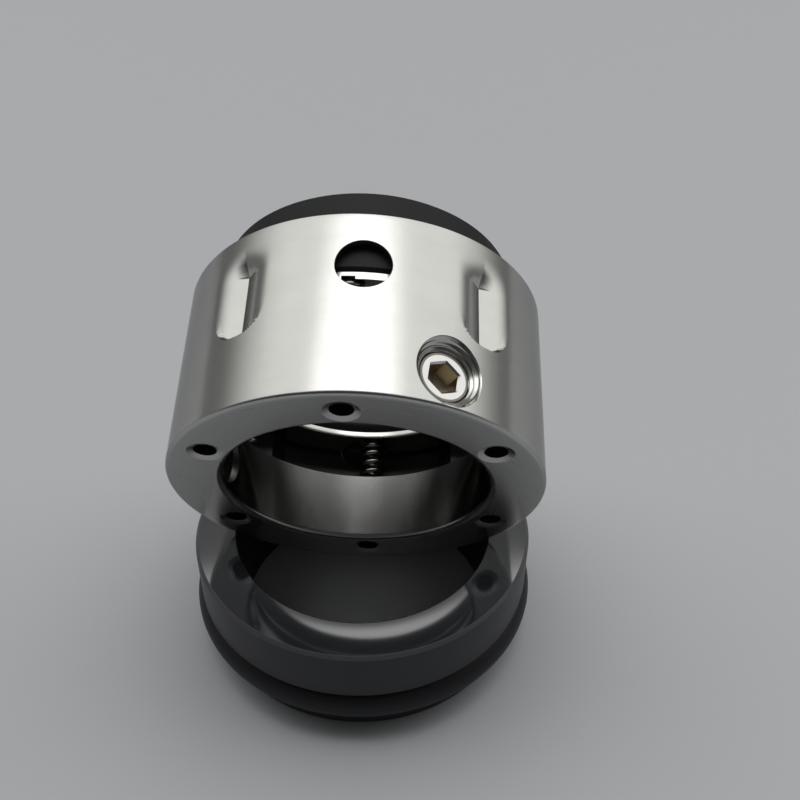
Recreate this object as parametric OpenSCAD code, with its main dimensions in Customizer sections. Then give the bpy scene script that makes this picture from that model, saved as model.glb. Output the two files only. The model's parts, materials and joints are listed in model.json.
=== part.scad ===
// Mechanical shaft seal of the multi-spring pusher kind, with its seat.
// The rotary unit is a turned shell whose thick drive ring is clamped to the shaft by set screws.
// Springs in the drive ring push a thrust disc, an O-ring and the seal ring out of the thin skirt.
// Dents pressed into the skirt turn the disc and the seal ring, and a retaining ring holds them in.
// The seat ring stands on the table with its lapped face up, and the rotary unit lies in its bore.
//
// Millimetres. +Z is up, the seat's axis is Z and the table is Z = 0.
// The rotary unit is drawn along its own axis, drive end at 0, and is then laid in the seat.

/* [Shaft and drive ring] */
// Diameter of the shaft that the seal fits
shaft_d = 38.1; // [30:0.1:50]
// Clearance on diameter between the shaft and the drive ring's bore
shaft_clearance = 0.1; // [0.06:0.02:0.16]
// Length of the thick drive ring
drive_len = 11; // [10:0.1:13]
// Chamfer of the bore at the drive end
bore_chamfer = 0.5; // [0.2:0.1:1]

/* [Springs] */
// Number of springs, equally spaced
spring_count = 6; // [6]
// Outside diameter of a spring
spring_d = 4.2; // [3.6:0.1:5]
// Wire diameter of a spring
wire_d = 0.85; // [0.6:0.05:1]
// Length of a spring as fitted, with the seal ring against its retaining ring
spring_len = 14.9; // [14.5:0.1:20]
// Working coils of a spring, without the closed coil at each end
spring_coils = 7.2; // [6:0.1:9]
// Room round a spring in its pocket
pocket_clearance = 0.3; // [0.2:0.05:0.5]
// Metal between the shaft's bore and a spring pocket
pocket_web = 1.05; // [0.8:0.05:2]
// Metal left between the drive end and the floor of a spring pocket
pocket_floor = 4; // [3:0.1:5]
// Diameter of the hole from a spring pocket to the drive end
end_hole_d = 3.2; // [2.5:0.1:3.8]
// Diameter of that hole's countersink
end_sink_d = 5; // [4.4:0.1:6]
// Depth of that countersink
end_sink_depth = 0.3; // [0.2:0.05:1]

/* [Skirt] */
// Wall of the thin skirt
skirt_wall = 0.9; // [0.8:0.1:2]
// Room between the springs and the skirt
skirt_room = 1.45; // [1:0.05:2]
// Chamfer on the shell's outer edge at the drive end
shell_chamfer = 0.3; // [0.2:0.05:0.6]
// Metal beyond the retaining ring's groove
rim_len = 1.05; // [0.8:0.05:2]
// Diameter of the two flushing windows
window_d = 7.6; // [6:0.1:8.5]
// Angle from the first spring to the first window
window_turn = 4.5; // [0:0.5:8]

/* [Dents] */
// Angle from a window to the dent on each side of it
dent_turn = 37.6; // [34:0.1:40]
// Width of a dent
dent_w = 6.5; // [5.5:0.1:7.5]
// Depth of a dent
dent_depth = 1.4; // [1:0.1:1.6]
// Length of a dent at its full depth
dent_len = 10.4; // [8:0.1:12]
// Room between a dent's inside and the slots that it drives
dent_clearance = 0.35; // [0.25:0.05:0.5]

/* [Set screws] */
// Angle between the two set screws
screw_turn = 120; // [60:60:180]
// Thread diameter of a set screw
screw_d = 8; // [6:1:8]
// Length of a set screw
screw_len = 6; // [5:0.5:6.5]
// Room on radius between a set screw and its hole
screw_clearance = 0.1; // [0.05:0.05:0.2]
// Gap between a set screw's point and the bore's wall
screw_back = 0.15; // [0.05:0.05:0.5]
// Width across the flats of the hexagon socket
socket_w = 4; // [2.5:0.5:4]
// Depth of the hexagon socket
socket_depth = 3; // [2:0.1:3.4]
// Angle by which the first hexagon socket is turned
socket_turn = -8; // [-30:1:30]
// Width of the countersink round a set screw's hole, on radius
screw_sink = 1.1; // [0.4:0.1:1.2]
// Width of the countersink at that hole's inner end, on radius
screw_inner_sink = 0.5; // [0.2:0.1:0.8]

/* [Seal ring and thrust disc] */
// Room on radius between the shaft and the seal ring
ring_clearance = 0.4; // [0.3:0.05:0.8]
// Room on radius between the skirt and the seal ring that slides in it
slide_clearance = 0.6; // [0.4:0.05:0.8]
// Step on radius from the seal ring in to the thrust disc
disc_step = 0.4; // [0.2:0.05:0.5]
// Thickness of the thrust disc
disc_t = 1.1; // [1:0.1:2]
// Depth of a spring's seat in the thrust disc
spring_seat_depth = 0.5; // [0.3:0.05:0.7]
// Diameter of a spring's seat in the thrust disc
spring_seat_d = 5.4; // [4.8:0.1:5.8]
// Length of the seal ring's shoulder inside the skirt
shoulder_len = 6.2; // [4.2:0.1:7]
// Radial thickness of the seal ring's nose
nose_wall = 3.2; // [2.6:0.1:3.5]
// Length of the seal ring's nose, from the shoulder to the lapped face
nose_len = 10.15; // [7:0.05:14]
// Chamfer on the seal ring's edges
ring_chamfer = 0.6; // [0.3:0.1:0.9]
// Section diameter of the shaft O-ring
shaft_oring_d = 2.9; // [2.4:0.1:3.2]
// Gap between the shaft and the O-ring drawn under load
shaft_oring_gap = 0.1; // [0.08:0.01:0.2]

/* [Retaining ring] */
// Thickness of the retaining ring
snap_t = 1.2; // [0.8:0.1:1.6]
// Radial width of the retaining ring
snap_w = 2.4; // [1.8:0.1:2.6]
// Depth of its groove in the skirt
snap_groove = 0.45; // [0.3:0.05:0.6]
// Room for the retaining ring in its groove
snap_clearance = 0.05; // [0.05:0.05:0.15]
// Angle of the opening in the retaining ring
snap_gap = 24; // [10:1:40]

/* [Seat] */
// Room on radius between the shaft and the seat's bore
seat_clearance = 1.2; // [0.8:0.1:1.6]
// Radial thickness of the seat's nose
seat_wall = 6.55; // [6:0.05:8]
// Height of the seat's nose
seat_nose_h = 8.6; // [7:0.1:12]
// Section diameter of the seat's O-ring
seat_oring_d = 5.3; // [4:0.1:5.6]
// Depth of the O-ring's groove
seat_groove = 4.5; // [3.6:0.1:4.8]
// Room for the O-ring across its groove
seat_groove_room = 0.9; // [0.3:0.1:1.5]
// Thickness of the lip below the groove
seat_lip_t = 3.5; // [2.5:0.1:5]
// Step on radius from the nose in to the lip
seat_lip_step = 1.9; // [1:0.1:2.5]
// Chamfer on the seat's outer edges
seat_chamfer = 0.45; // [0.2:0.05:0.8]
// Chamfer at both ends of the seat's bore
seat_bore_chamfer = 0.2; // [0.1:0.05:0.4]

/* [Rest] */
// Dip of the rotary unit's drive end as it lies in the seat
rest_dip = 22.35; // [15:0.05:30]
// Turn of the rotary unit about its own axis as it lies in the seat
rest_turn = -2; // [-30:1:30]
// Clearance between pieces that only lie on each other
rest_gap = 0.05; // [0.02:0.01:0.1]

/* [Hidden] */
$fn = 96;
// Margin by which a cutter passes the face that it cuts
cut = 1;
half_turn = 180;
screws = [0, 1];

// Radii of the rotary unit, from the shaft outwards
shaft_r = shaft_d / 2;
bore_r = shaft_r + shaft_clearance / 2;
pocket_r = spring_d / 2 + pocket_clearance;
spring_circle_r = bore_r + pocket_web + pocket_r;
skirt_in_r = spring_circle_r + spring_d / 2 + skirt_room;
shell_r = skirt_in_r + skirt_wall;
slide_r = skirt_in_r - slide_clearance;
disc_r = slide_r - disc_step;
ring_in_r = shaft_r + ring_clearance;
nose_r = ring_in_r + nose_wall;
snap_out_r = skirt_in_r + snap_groove - snap_clearance;
shaft_oring_in_r = shaft_r + shaft_oring_gap;
oring_chamber_r = shaft_oring_in_r + shaft_oring_d + shaft_oring_gap;
screw_in_r = bore_r + screw_back;

// Heights of the rotary unit along its axis, from the drive end
spring_z = pocket_floor + rest_gap;
disc_z = spring_z + spring_len + rest_gap - spring_seat_depth;
ring_z = disc_z + disc_t;
snap_z = ring_z + shoulder_len;
shell_len = snap_z + snap_t + snap_clearance + rim_len;
rim_chamfer = skirt_wall / 4;
face_z = snap_z + nose_len;
oring_chamber_len = shaft_oring_d + 2 * shaft_oring_gap;
dent_end_z = snap_z - snap_clearance;
screw_z = drive_len / 2;
window_z = ring_z;

// A dent's flank rises from its bottom line to the shell's surface at half its width
dent_edge_drop = shell_r - sqrt(shell_r * shell_r - dent_w * dent_w / 4);
dent_slope = (dent_depth - dent_edge_drop) / (dent_w / 2);
dent_fade = dent_end_z - drive_len - dent_len;
dent_fade_angle = atan(dent_depth / dent_fade);
dent_angles = [for (side = [0, half_turn], hand = [-1, 1]) window_turn + side + hand * dent_turn];
window_angles = [window_turn, window_turn + half_turn];
snap_gap_turn = window_turn + half_turn;

// Radii and heights of the seat
seat_bore_r = shaft_r + seat_clearance;
seat_r = seat_bore_r + seat_wall;
seat_groove_r = seat_r - seat_groove;
seat_lip_r = seat_r - seat_lip_step;
seat_groove_w = seat_oring_d + seat_groove_room;
seat_h = seat_lip_t + seat_groove_w + seat_nose_h;
seat_oring_r = seat_groove_r + rest_gap + seat_oring_d / 2;
seat_oring_z = seat_lip_t + seat_groove_w / 2;

// The shell touches the far edge of the seat's bore with its lowest line, and the bore's near edge
// with two points of its drive end. rest_y and rest_z place the centre of the drive end for that.
rest_k = tan(rest_dip) / (shell_r * cos(rest_dip));
rest_q0 = 1 - rest_k * (seat_bore_r - shell_r * sin(rest_dip));
rest_y = -cos(rest_dip) * sqrt(seat_bore_r * seat_bore_r - shell_r * shell_r
    + pow(shell_r * rest_q0 * cos(rest_dip), 2));
rest_z = seat_h + (rest_q0 + rest_k * rest_y) * shell_r * cos(rest_dip) + rest_gap;

// A spring's wire, as rings of points along its helix
closed_pitch = wire_d * 1.04;
spring_pitch = (spring_len - wire_d - 2 * closed_pitch) / spring_coils;
spring_turns = spring_coils + 2;
steps_per_turn = 12;
wire_sides = 6;
spring_steps = ceil(spring_turns * steps_per_turn);

// Lays what is drawn along the rotary unit's axis into the seat
module laid() {
    translate([0, rest_y, rest_z])
        rotate([rest_dip - 90, 0, 0])
            rotate([0, 0, rest_turn])
                children();
}

// Turns a shape drawn at +X to an angle counted from the rotary unit's upper side
module at_angle(angle) {
    rotate([0, 0, angle - 90])
        children();
}

// Stands a shape drawn along +Z on a radius, pointing outwards
module pointing_out(angle, radius, height) {
    at_angle(angle)
        translate([radius, 0, height])
            rotate([0, 90, 0])
                children();
}

function spring_angle(index) = index * 360 / spring_count;

function screw_angle(index) = half_turn / spring_count - index * screw_turn;

// A V-shaped bar along +Z whose edge lies at a radius on +X and whose flanks open outwards
module dent_bar(edge_r, half_w, thickness, length) {
    linear_extrude(length)
        polygon([
            [edge_r, 0],
            [edge_r + dent_slope * half_w, half_w],
            [edge_r + dent_slope * half_w + thickness, half_w],
            [edge_r + dent_slope * half_w + thickness, -half_w],
            [edge_r + dent_slope * half_w, -half_w]
        ]);
}

// A dent's bar at full depth, then leaning outwards until it leaves the surface
module dent_form(edge_r, half_w, thickness, start_z) {
    full_z = drive_len + dent_len;
    translate([0, 0, start_z])
        dent_bar(edge_r, half_w, thickness, full_z - start_z);
    translate([edge_r, 0, full_z])
        rotate([0, dent_fade_angle, 0])
            translate([-edge_r, 0, 0])
                dent_bar(edge_r, half_w, thickness, dent_fade / cos(dent_fade_angle));
}

// The slots by which the dents turn a ring that slides in the skirt
module dent_slots(low_z, length) {
    for (angle = dent_angles)
        at_angle(angle)
            translate([0, 0, low_z - cut])
                dent_bar(skirt_in_r - dent_depth - dent_clearance, dent_w, dent_w, length + 2 * cut);
}

// Half section of the shell: drive ring, skirt and the retaining ring's groove
module shell_section() {
    groove_r = skirt_in_r + snap_groove;
    groove_end = snap_z + snap_t + snap_clearance;
    polygon([
        [bore_r + bore_chamfer, 0],
        [shell_r - shell_chamfer, 0],
        [shell_r, shell_chamfer],
        [shell_r, shell_len - rim_chamfer],
        [shell_r - rim_chamfer, shell_len],
        [skirt_in_r + rim_chamfer, shell_len],
        [skirt_in_r, shell_len - rim_chamfer],
        [skirt_in_r, groove_end],
        [groove_r, groove_end],
        [groove_r, snap_z - snap_clearance],
        [skirt_in_r, snap_z - snap_clearance],
        [skirt_in_r, drive_len],
        [bore_r, drive_len],
        [bore_r, bore_chamfer]
    ]);
}

// The skirt's metal that the dents push inwards
module dent_backs() {
    thickness = dent_edge_drop + skirt_wall / 2;
    intersection() {
        for (angle = dent_angles)
            at_angle(angle)
                dent_form(skirt_in_r - dent_depth, dent_w / 2, thickness, drive_len - cut);
        cylinder(r = shell_r - skirt_wall / 2, h = dent_end_z);
    }
}

// Holes of one spring: its pocket, the hole to the drive end and that hole's countersink
module spring_holes() {
    sink_slope = (end_sink_d - end_hole_d) / end_sink_depth;
    translate([spring_circle_r, 0, 0]) {
        translate([0, 0, pocket_floor])
            cylinder(r = pocket_r, h = drive_len - pocket_floor + cut);
        translate([0, 0, -cut])
            cylinder(d = end_hole_d, h = pocket_floor + 2 * cut);
        translate([0, 0, -cut])
            cylinder(d1 = end_sink_d + sink_slope * cut, d2 = end_hole_d, h = end_sink_depth + cut);
    }
}

// Hole of one set screw, along +Z from the shaft's axis, with a countersink at both ends
module screw_hole() {
    hole_r = screw_d / 2;
    cylinder(r = hole_r, h = shell_r + cut);
    translate([0, 0, shell_r - screw_sink])
        cylinder(r1 = hole_r, r2 = hole_r + screw_sink + cut, h = screw_sink + cut);
    translate([0, 0, bore_r - cut])
        cylinder(r1 = hole_r + screw_inner_sink + cut / 2, r2 = hole_r, h = cut + screw_inner_sink / 2);
}

module shell() {
    color("silver")
        laid()
            difference() {
                union() {
                    rotate_extrude()
                        shell_section();
                    dent_backs();
                }
                for (angle = dent_angles)
                    at_angle(angle)
                        dent_form(shell_r - dent_depth, dent_w, dent_w, drive_len);
                for (i = [0 : spring_count - 1])
                    at_angle(spring_angle(i))
                        spring_holes();
                for (i = screws)
                    pointing_out(screw_angle(i), 0, screw_z)
                        screw_hole();
                for (angle = window_angles)
                    pointing_out(angle, slide_r, window_z)
                        cylinder(d = window_d, h = shell_r - slide_r + cut);
            }
}

// A flat open ring that springs into the skirt's groove
module retaining_ring() {
    half_gap = snap_gap / 2;
    color("lightslategray")
        laid()
            at_angle(snap_gap_turn + half_gap)
                translate([0, 0, snap_z])
                    rotate_extrude(angle = 360 - snap_gap)
                        translate([snap_out_r - snap_w, 0])
                            square([snap_w, snap_t]);
}

module thrust_disc() {
    color("gainsboro")
        laid()
            difference() {
                translate([0, 0, disc_z])
                    rotate_extrude()
                        translate([ring_in_r, 0])
                            square([disc_r - ring_in_r, disc_t]);
                dent_slots(disc_z, disc_t);
                for (i = [0 : spring_count - 1])
                    at_angle(spring_angle(i))
                        translate([spring_circle_r, 0, disc_z - cut])
                            cylinder(d = spring_seat_d, h = spring_seat_depth + cut);
            }
}

// Half section of the seal ring: O-ring chamber at the back, shoulder and lapped nose
module seal_ring_section() {
    chamber_z = ring_z + oring_chamber_len;
    polygon([
        [oring_chamber_r, ring_z],
        [slide_r - ring_chamfer, ring_z],
        [slide_r, ring_z + ring_chamfer],
        [slide_r, snap_z],
        [nose_r, snap_z],
        [nose_r, face_z - ring_chamfer],
        [nose_r - ring_chamfer, face_z],
        [ring_in_r + ring_chamfer, face_z],
        [ring_in_r, face_z - ring_chamfer],
        [ring_in_r, chamber_z],
        [oring_chamber_r, chamber_z]
    ]);
}

module seal_ring() {
    color("dimgray")
        laid()
            difference() {
                rotate_extrude()
                    seal_ring_section();
                dent_slots(ring_z, shoulder_len);
            }
}

module shaft_o_ring() {
    color("black")
        laid()
            translate([0, 0, ring_z + oring_chamber_len / 2])
                rotate_extrude()
                    translate([shaft_oring_in_r + shaft_oring_d / 2, 0])
                        circle(d = shaft_oring_d);
}

// Height of a spring's wire after some turns: a closed coil, the working coils and a closed coil
function wire_height(turns) = wire_d / 2
    + closed_pitch * min(turns, 1)
    + spring_pitch * max(0, min(turns - 1, spring_coils))
    + closed_pitch * max(0, turns - 1 - spring_coils);

// One ring of points round the wire after some turns
function wire_ring(turns) = [for (k = [0 : wire_sides - 1])
    let (side = k * 360 / wire_sides, turn = 360 * turns)
    let (out = (spring_d - wire_d) / 2 + wire_d / 2 * cos(side))
    [out * cos(turn), out * sin(turn), wire_height(turns) + wire_d / 2 * sin(side)]];

// A compression spring on Z, from 0 to spring_len
module coil_spring() {
    rings = [for (i = [0 : spring_steps]) each wire_ring(spring_turns * i / spring_steps)];
    sides = [for (i = [0 : spring_steps - 1], k = [0 : wire_sides - 1])
        let (next = (k + 1) % wire_sides, low = i * wire_sides, high = low + wire_sides)
        each [[low + k, high + next, low + next], [low + k, high + k, high + next]]];
    first_end = [[for (k = [0 : wire_sides - 1]) k]];
    last_end = [[for (k = [wire_sides - 1 : -1 : 0]) spring_steps * wire_sides + k]];
    polyhedron(points = rings, faces = concat(sides, first_end, last_end), convexity = 12);
}

module spring(index) {
    color("lightgray")
        laid()
            at_angle(spring_angle(index))
                translate([spring_circle_r, 0, spring_z])
                    coil_spring();
}

// A set screw on Z: cup point at 0, hexagon socket at its length
module set_screw(index) {
    thread_r = screw_d / 2 - screw_clearance;
    point_chamfer = screw_d / 12;
    head_chamfer = screw_d / 40;
    cup_r = screw_d / 4;
    cup_depth = screw_d / 10;
    socket_r = socket_w / 2 / cos(30);
    color("lightsteelblue")
        laid()
            pointing_out(screw_angle(index), screw_in_r, screw_z)
                difference() {
                    rotate_extrude()
                        polygon([
                            [0, cup_depth],
                            [cup_r, 0],
                            [thread_r - point_chamfer, 0],
                            [thread_r, point_chamfer],
                            [thread_r, screw_len - head_chamfer],
                            [thread_r - head_chamfer, screw_len],
                            [0, screw_len]
                        ]);
                    translate([0, 0, screw_len - socket_depth])
                        rotate([0, 0, socket_turn * (1 - index)])
                            cylinder(r = socket_r, h = socket_depth + cut, $fn = 6);
                }
}

// Half section of the seat: nose with the lapped face, O-ring groove and lip
module seat_section() {
    groove_top = seat_lip_t + seat_groove_w;
    polygon([
        [seat_bore_r + seat_bore_chamfer, 0],
        [seat_lip_r - seat_chamfer, 0],
        [seat_lip_r, seat_chamfer],
        [seat_lip_r, seat_lip_t],
        [seat_groove_r, seat_lip_t],
        [seat_groove_r, groove_top],
        [seat_r, groove_top],
        [seat_r, seat_h - seat_chamfer],
        [seat_r - seat_chamfer, seat_h],
        [seat_bore_r + seat_bore_chamfer, seat_h],
        [seat_bore_r, seat_h - seat_bore_chamfer],
        [seat_bore_r, seat_bore_chamfer]
    ]);
}

module seat_ring() {
    color("slategray")
        rotate_extrude()
            seat_section();
}

module seat_o_ring() {
    color("black")
        translate([0, 0, seat_oring_z])
            rotate_extrude()
                translate([seat_oring_r, 0])
                    circle(d = seat_oring_d);
}

shell();
retaining_ring();
thrust_disc();
seal_ring();
shaft_o_ring();
spring(0);  // spring_1
spring(1);  // spring_2
spring(2);  // spring_3
spring(3);  // spring_4
spring(4);  // spring_5
spring(5);  // spring_6
set_screw(0);  // set_screw_1
set_screw(1);  // set_screw_2
seat_ring();
seat_o_ring();
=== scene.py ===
"""The looks of a mechanical shaft seal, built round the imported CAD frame.

The rotary unit is a turned steel shell that holds springs, a thrust disc and a carbon seal ring. It lies
in the bore of its seat. Every piece is a numpy surface that stands for the CAD solid of the same name.
Sizes are millimetres on a piece's own axis, and its Placing carries them into the frame, in metres.
Angles are degrees.
"""

from __future__ import annotations

import json
import logging
import math
from abc import ABC, abstractmethod
from dataclasses import dataclass, field
from enum import Enum
from typing import Callable, Sequence

import bmesh
import bpy
import numpy as np
from mathutils import Matrix, Vector


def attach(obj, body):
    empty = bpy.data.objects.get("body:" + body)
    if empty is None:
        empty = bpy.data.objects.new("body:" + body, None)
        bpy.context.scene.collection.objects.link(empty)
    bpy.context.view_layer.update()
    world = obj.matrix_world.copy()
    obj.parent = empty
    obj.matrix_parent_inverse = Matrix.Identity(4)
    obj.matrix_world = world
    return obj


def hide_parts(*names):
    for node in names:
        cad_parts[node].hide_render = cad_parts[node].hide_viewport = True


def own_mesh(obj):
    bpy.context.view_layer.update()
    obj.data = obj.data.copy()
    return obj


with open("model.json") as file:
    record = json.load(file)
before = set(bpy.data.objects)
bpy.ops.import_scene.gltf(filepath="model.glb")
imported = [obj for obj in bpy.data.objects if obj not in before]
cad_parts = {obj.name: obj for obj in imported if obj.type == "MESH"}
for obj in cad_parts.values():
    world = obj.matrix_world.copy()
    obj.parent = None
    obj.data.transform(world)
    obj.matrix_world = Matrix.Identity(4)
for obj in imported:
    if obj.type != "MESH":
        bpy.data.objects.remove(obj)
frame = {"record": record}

log = logging.getLogger("shaft_seal")

Array = np.ndarray
Point = tuple[float, float, float]
Colour = tuple[float, float, float]

# a millimetre in the frame's metres, and a full turn in degrees
MM = 0.001
TURN = 360.0
# points nearer than this, in metres, are welded
WELD = 2e-6
# what two equal angles or shares may differ by
NEAR = 1e-6
# each point's own millimetres and the piece's axis, kept in the mesh
OWN_PLACE = "own_place"
OWN_AXIS = "own_axis"


@dataclass(frozen=True)
class Placing:
    """Where a piece's own axes lie in the frame.

    Attributes:
        origin: the own origin, in millimetres
        axis: unit vector of the own z
        up: unit vector of the own x, square to axis
    """

    origin: Point
    axis: Point
    up: Point

    def basis(self) -> Array:
        """Returns the own x, y and z directions as rows."""
        axis, up = np.array(self.axis), np.array(self.up)
        return np.stack([up, np.cross(axis, up), axis])

    def to_frame(self, points: Array) -> Array:
        """Returns own millimetres as the frame's metres: origin plus the points along the own axes."""
        return (np.array(self.origin) + points @ self.basis()) * MM

    def to_own(self, points: Array) -> Array:
        """Returns the frame's metres as own millimetres, the reverse of to_frame."""
        return (points / MM - np.array(self.origin)) @ self.basis().T

    def spoke(self, turn: float, height: float) -> Placing:
        """A placing whose axis points outwards.

        Args:
            turn: angle from the own x
            height: place on the own axis
        Returns:
            The placing, with x along the turn and y along this placing's axis.
        """
        up, side, axis = self.basis()
        angle = math.radians(turn)
        out = math.cos(angle) * up + math.sin(angle) * side
        along = math.cos(angle) * side - math.sin(angle) * up
        return Placing(tuple(np.array(self.origin) + height * axis), tuple(out), tuple(along))

    def beside(self, turn: float, radius: float) -> Placing:
        """A placing with the same axis direction, moved out to a radius, with x pointing outwards.

        Args:
            turn: angle from the own x
            radius: distance from the own axis
        Returns:
            The placing.
        """
        up, side, axis = self.basis()
        angle = math.radians(turn)
        out = math.cos(angle) * up + math.sin(angle) * side
        return Placing(tuple(np.array(self.origin) + radius * out), tuple(axis), tuple(out))


@dataclass(frozen=True)
class Ease:
    """A smooth change from one value to another.

    Attributes:
        low, high: the stretch over which it changes
        first: the value up to low
        last: the value from high on
    """

    low: float
    high: float
    first: float
    last: float


class Signal:
    """A shader value on which Python's arithmetic adds Math nodes."""

    def __init__(self, shader: Shader, socket: bpy.types.NodeSocket) -> None:
        """Wraps one output socket of a shader's node."""
        self.shader = shader
        self.socket = socket

    def maths(self, operation: str, *terms: Signal | float) -> Signal:
        """Adds a Math node.

        Args:
            operation: the Math node's operation
            terms: its inputs in order
        Returns:
            The node's result.
        """
        node = self.shader.add("ShaderNodeMath", {"operation": operation}, dict(enumerate(terms)))
        return Signal(self.shader, node.outputs[0])

    def __add__(self, other: Signal | float) -> Signal:
        """Self plus other."""
        return self.maths("ADD", self, other)

    def __radd__(self, other: float) -> Signal:
        """Other plus self."""
        return self.maths("ADD", other, self)

    def __sub__(self, other: Signal | float) -> Signal:
        """Self minus other."""
        return self.maths("SUBTRACT", self, other)

    def __rsub__(self, other: float) -> Signal:
        """Other minus self."""
        return self.maths("SUBTRACT", other, self)

    def __mul__(self, other: Signal | float) -> Signal:
        """Self times other."""
        return self.maths("MULTIPLY", self, other)

    def __rmul__(self, other: float) -> Signal:
        """Other times self."""
        return self.maths("MULTIPLY", other, self)

    def __pow__(self, other: float) -> Signal:
        """Self to a power."""
        return self.maths("POWER", self, other)

    def __abs__(self) -> Signal:
        """Self without its sign."""
        return self.maths("ABSOLUTE", self)


class Shader:
    """A node tree to which nodes are added by type."""

    # how much finer than a millimetre the chance in streaked changes
    FINENESS = 1e3

    def __init__(self, tree: bpy.types.NodeTree) -> None:
        """Takes a tree and clears it."""
        self.tree = tree
        tree.nodes.clear()

    def add(
        self,
        kind: str,
        settings: dict[str, object] | None = None,
        inputs: dict[str | int, object] | None = None,
    ) -> bpy.types.Node:
        """Adds one node.

        Args:
            kind: the node's type
            settings: its properties, set first
            inputs: values, sockets or signals for its sockets
        Returns:
            The node.
        """
        node = self.tree.nodes.new(kind)
        for name, value in (settings or {}).items():
            setattr(node, name, value)
        for name, value in (inputs or {}).items():
            if isinstance(value, Signal):
                value = value.socket
            if isinstance(value, bpy.types.NodeSocket):
                self.tree.links.new(value, node.inputs[name])
            else:
                node.inputs[name].default_value = value
        return node

    def parts(self, vector: bpy.types.NodeSocket) -> tuple[Signal, Signal, Signal]:
        """Returns a vector's x, y and z."""
        node = self.add("ShaderNodeSeparateXYZ", inputs={0: vector})
        return tuple(Signal(self, output) for output in node.outputs)

    def attribute(self, name: str) -> bpy.types.NodeSocket:
        """Returns the socket of a vector that the mesh holds for each point."""
        return self.add("ShaderNodeAttribute", {"attribute_name": name}).outputs["Vector"]

    def vector(self, operation: str, inputs: dict[str | int, object]) -> bpy.types.NodeSocket:
        """Returns the result of a Vector Math node with the given inputs."""
        return self.add("ShaderNodeVectorMath", {"operation": operation}, inputs).outputs[0]

    def noise(self, across: Sequence[Signal], detail: float) -> Signal:
        """A noise value.

        Args:
            across: the noise's own coordinates
            detail: the noise's octaves
        Returns:
            A value round a half.
        """
        place = self.add("ShaderNodeCombineXYZ", inputs=dict(enumerate(across)))
        inputs = {"Vector": place.outputs[0], "Scale": 1.0, "Detail": detail}
        return Signal(self, self.add("ShaderNodeTexNoise", inputs=inputs).outputs["Fac"])

    def streaked(self, place: Sequence[Signal], spread: float) -> bpy.types.NodeSocket:
        """A normal that marks too fine to see tip to and fro along the piece's axis.

        Three even chances add up to a bell curve round one and a half with a usual spread of a half,
        which gives the random slope.

        Args:
            place: the surface point
            spread: usual slope of the marks
        Returns:
            The normal's socket: the surface's own plus the axis times the slope, made a unit vector.
        """
        fine = {i: self.FINENESS * part for i, part in enumerate(place)}
        point = self.add("ShaderNodeCombineXYZ", inputs=fine)
        chance = self.add("ShaderNodeTexWhiteNoise", inputs={"Vector": point.outputs[0]})
        first, second, third = self.parts(chance.outputs["Color"])
        slope = (first + second + third - 1.5) * (2 * spread)
        tip = self.vector("SCALE", {0: self.attribute(OWN_AXIS), "Scale": slope})
        plain = self.add("ShaderNodeNewGeometry").outputs["Normal"]
        return self.vector("NORMALIZE", {0: self.vector("ADD", {0: plain, 1: tip})})

    def ramp(self, value: Signal, ease: Ease) -> Signal:
        """Eases a value.

        Args:
            value: what is eased
            ease: the stretch and the values at its ends
        Returns:
            The result.
        """
        ends = {"From Min": ease.low, "From Max": ease.high, "To Min": ease.first, "To Max": ease.last}
        node = self.add("ShaderNodeMapRange", {"interpolation_type": "SMOOTHSTEP"}, {"Value": value, **ends})
        return Signal(self, node.outputs[0])

    def blend(self, share: Signal, first: Colour, second: Colour) -> bpy.types.NodeSocket:
        """Mixes two colours.

        Args:
            share: 0 gives the first colour, 1 the second
            first: a colour
            second: a colour
        Returns:
            The mixed colour's socket.
        """
        inputs = {0: share, 6: (*first, 1.0), 7: (*second, 1.0)}
        return self.add("ShaderNodeMix", {"data_type": "RGBA"}, inputs).outputs[2]

    def surface(self, **inputs: object) -> bpy.types.Node:
        """Returns a Principled node with the given inputs, named with underscores for spaces."""
        named = {name.replace("_", " "): value for name, value in inputs.items()}
        return self.add("ShaderNodeBsdfPrincipled", inputs=named)


class Lay(Enum):
    """How a cutting tool's marks run."""

    ROUND = "rings along a cylinder"
    FACED = "rings on a flat end"


@dataclass(frozen=True)
class Finish(ABC):
    """The look of one kind of surface.

    Attributes:
        name: the finish in plain words
    """

    name: str

    def material(self) -> bpy.types.Material:
        """Gives this finish's material, made at its first use.

        Returns:
            The material.
        """
        name = f"{self.name}_look"
        found = bpy.data.materials.get(name)
        if found:
            return found
        made = bpy.data.materials.new(name)
        made.use_nodes = True
        shader = Shader(made.node_tree)
        surface = self.paint(shader)
        shader.add("ShaderNodeOutputMaterial", inputs={"Surface": surface.outputs[0]})
        return made

    @abstractmethod
    def paint(self, shader: Shader) -> bpy.types.Node:
        """Adds the finish's nodes and returns its surface node."""


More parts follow.
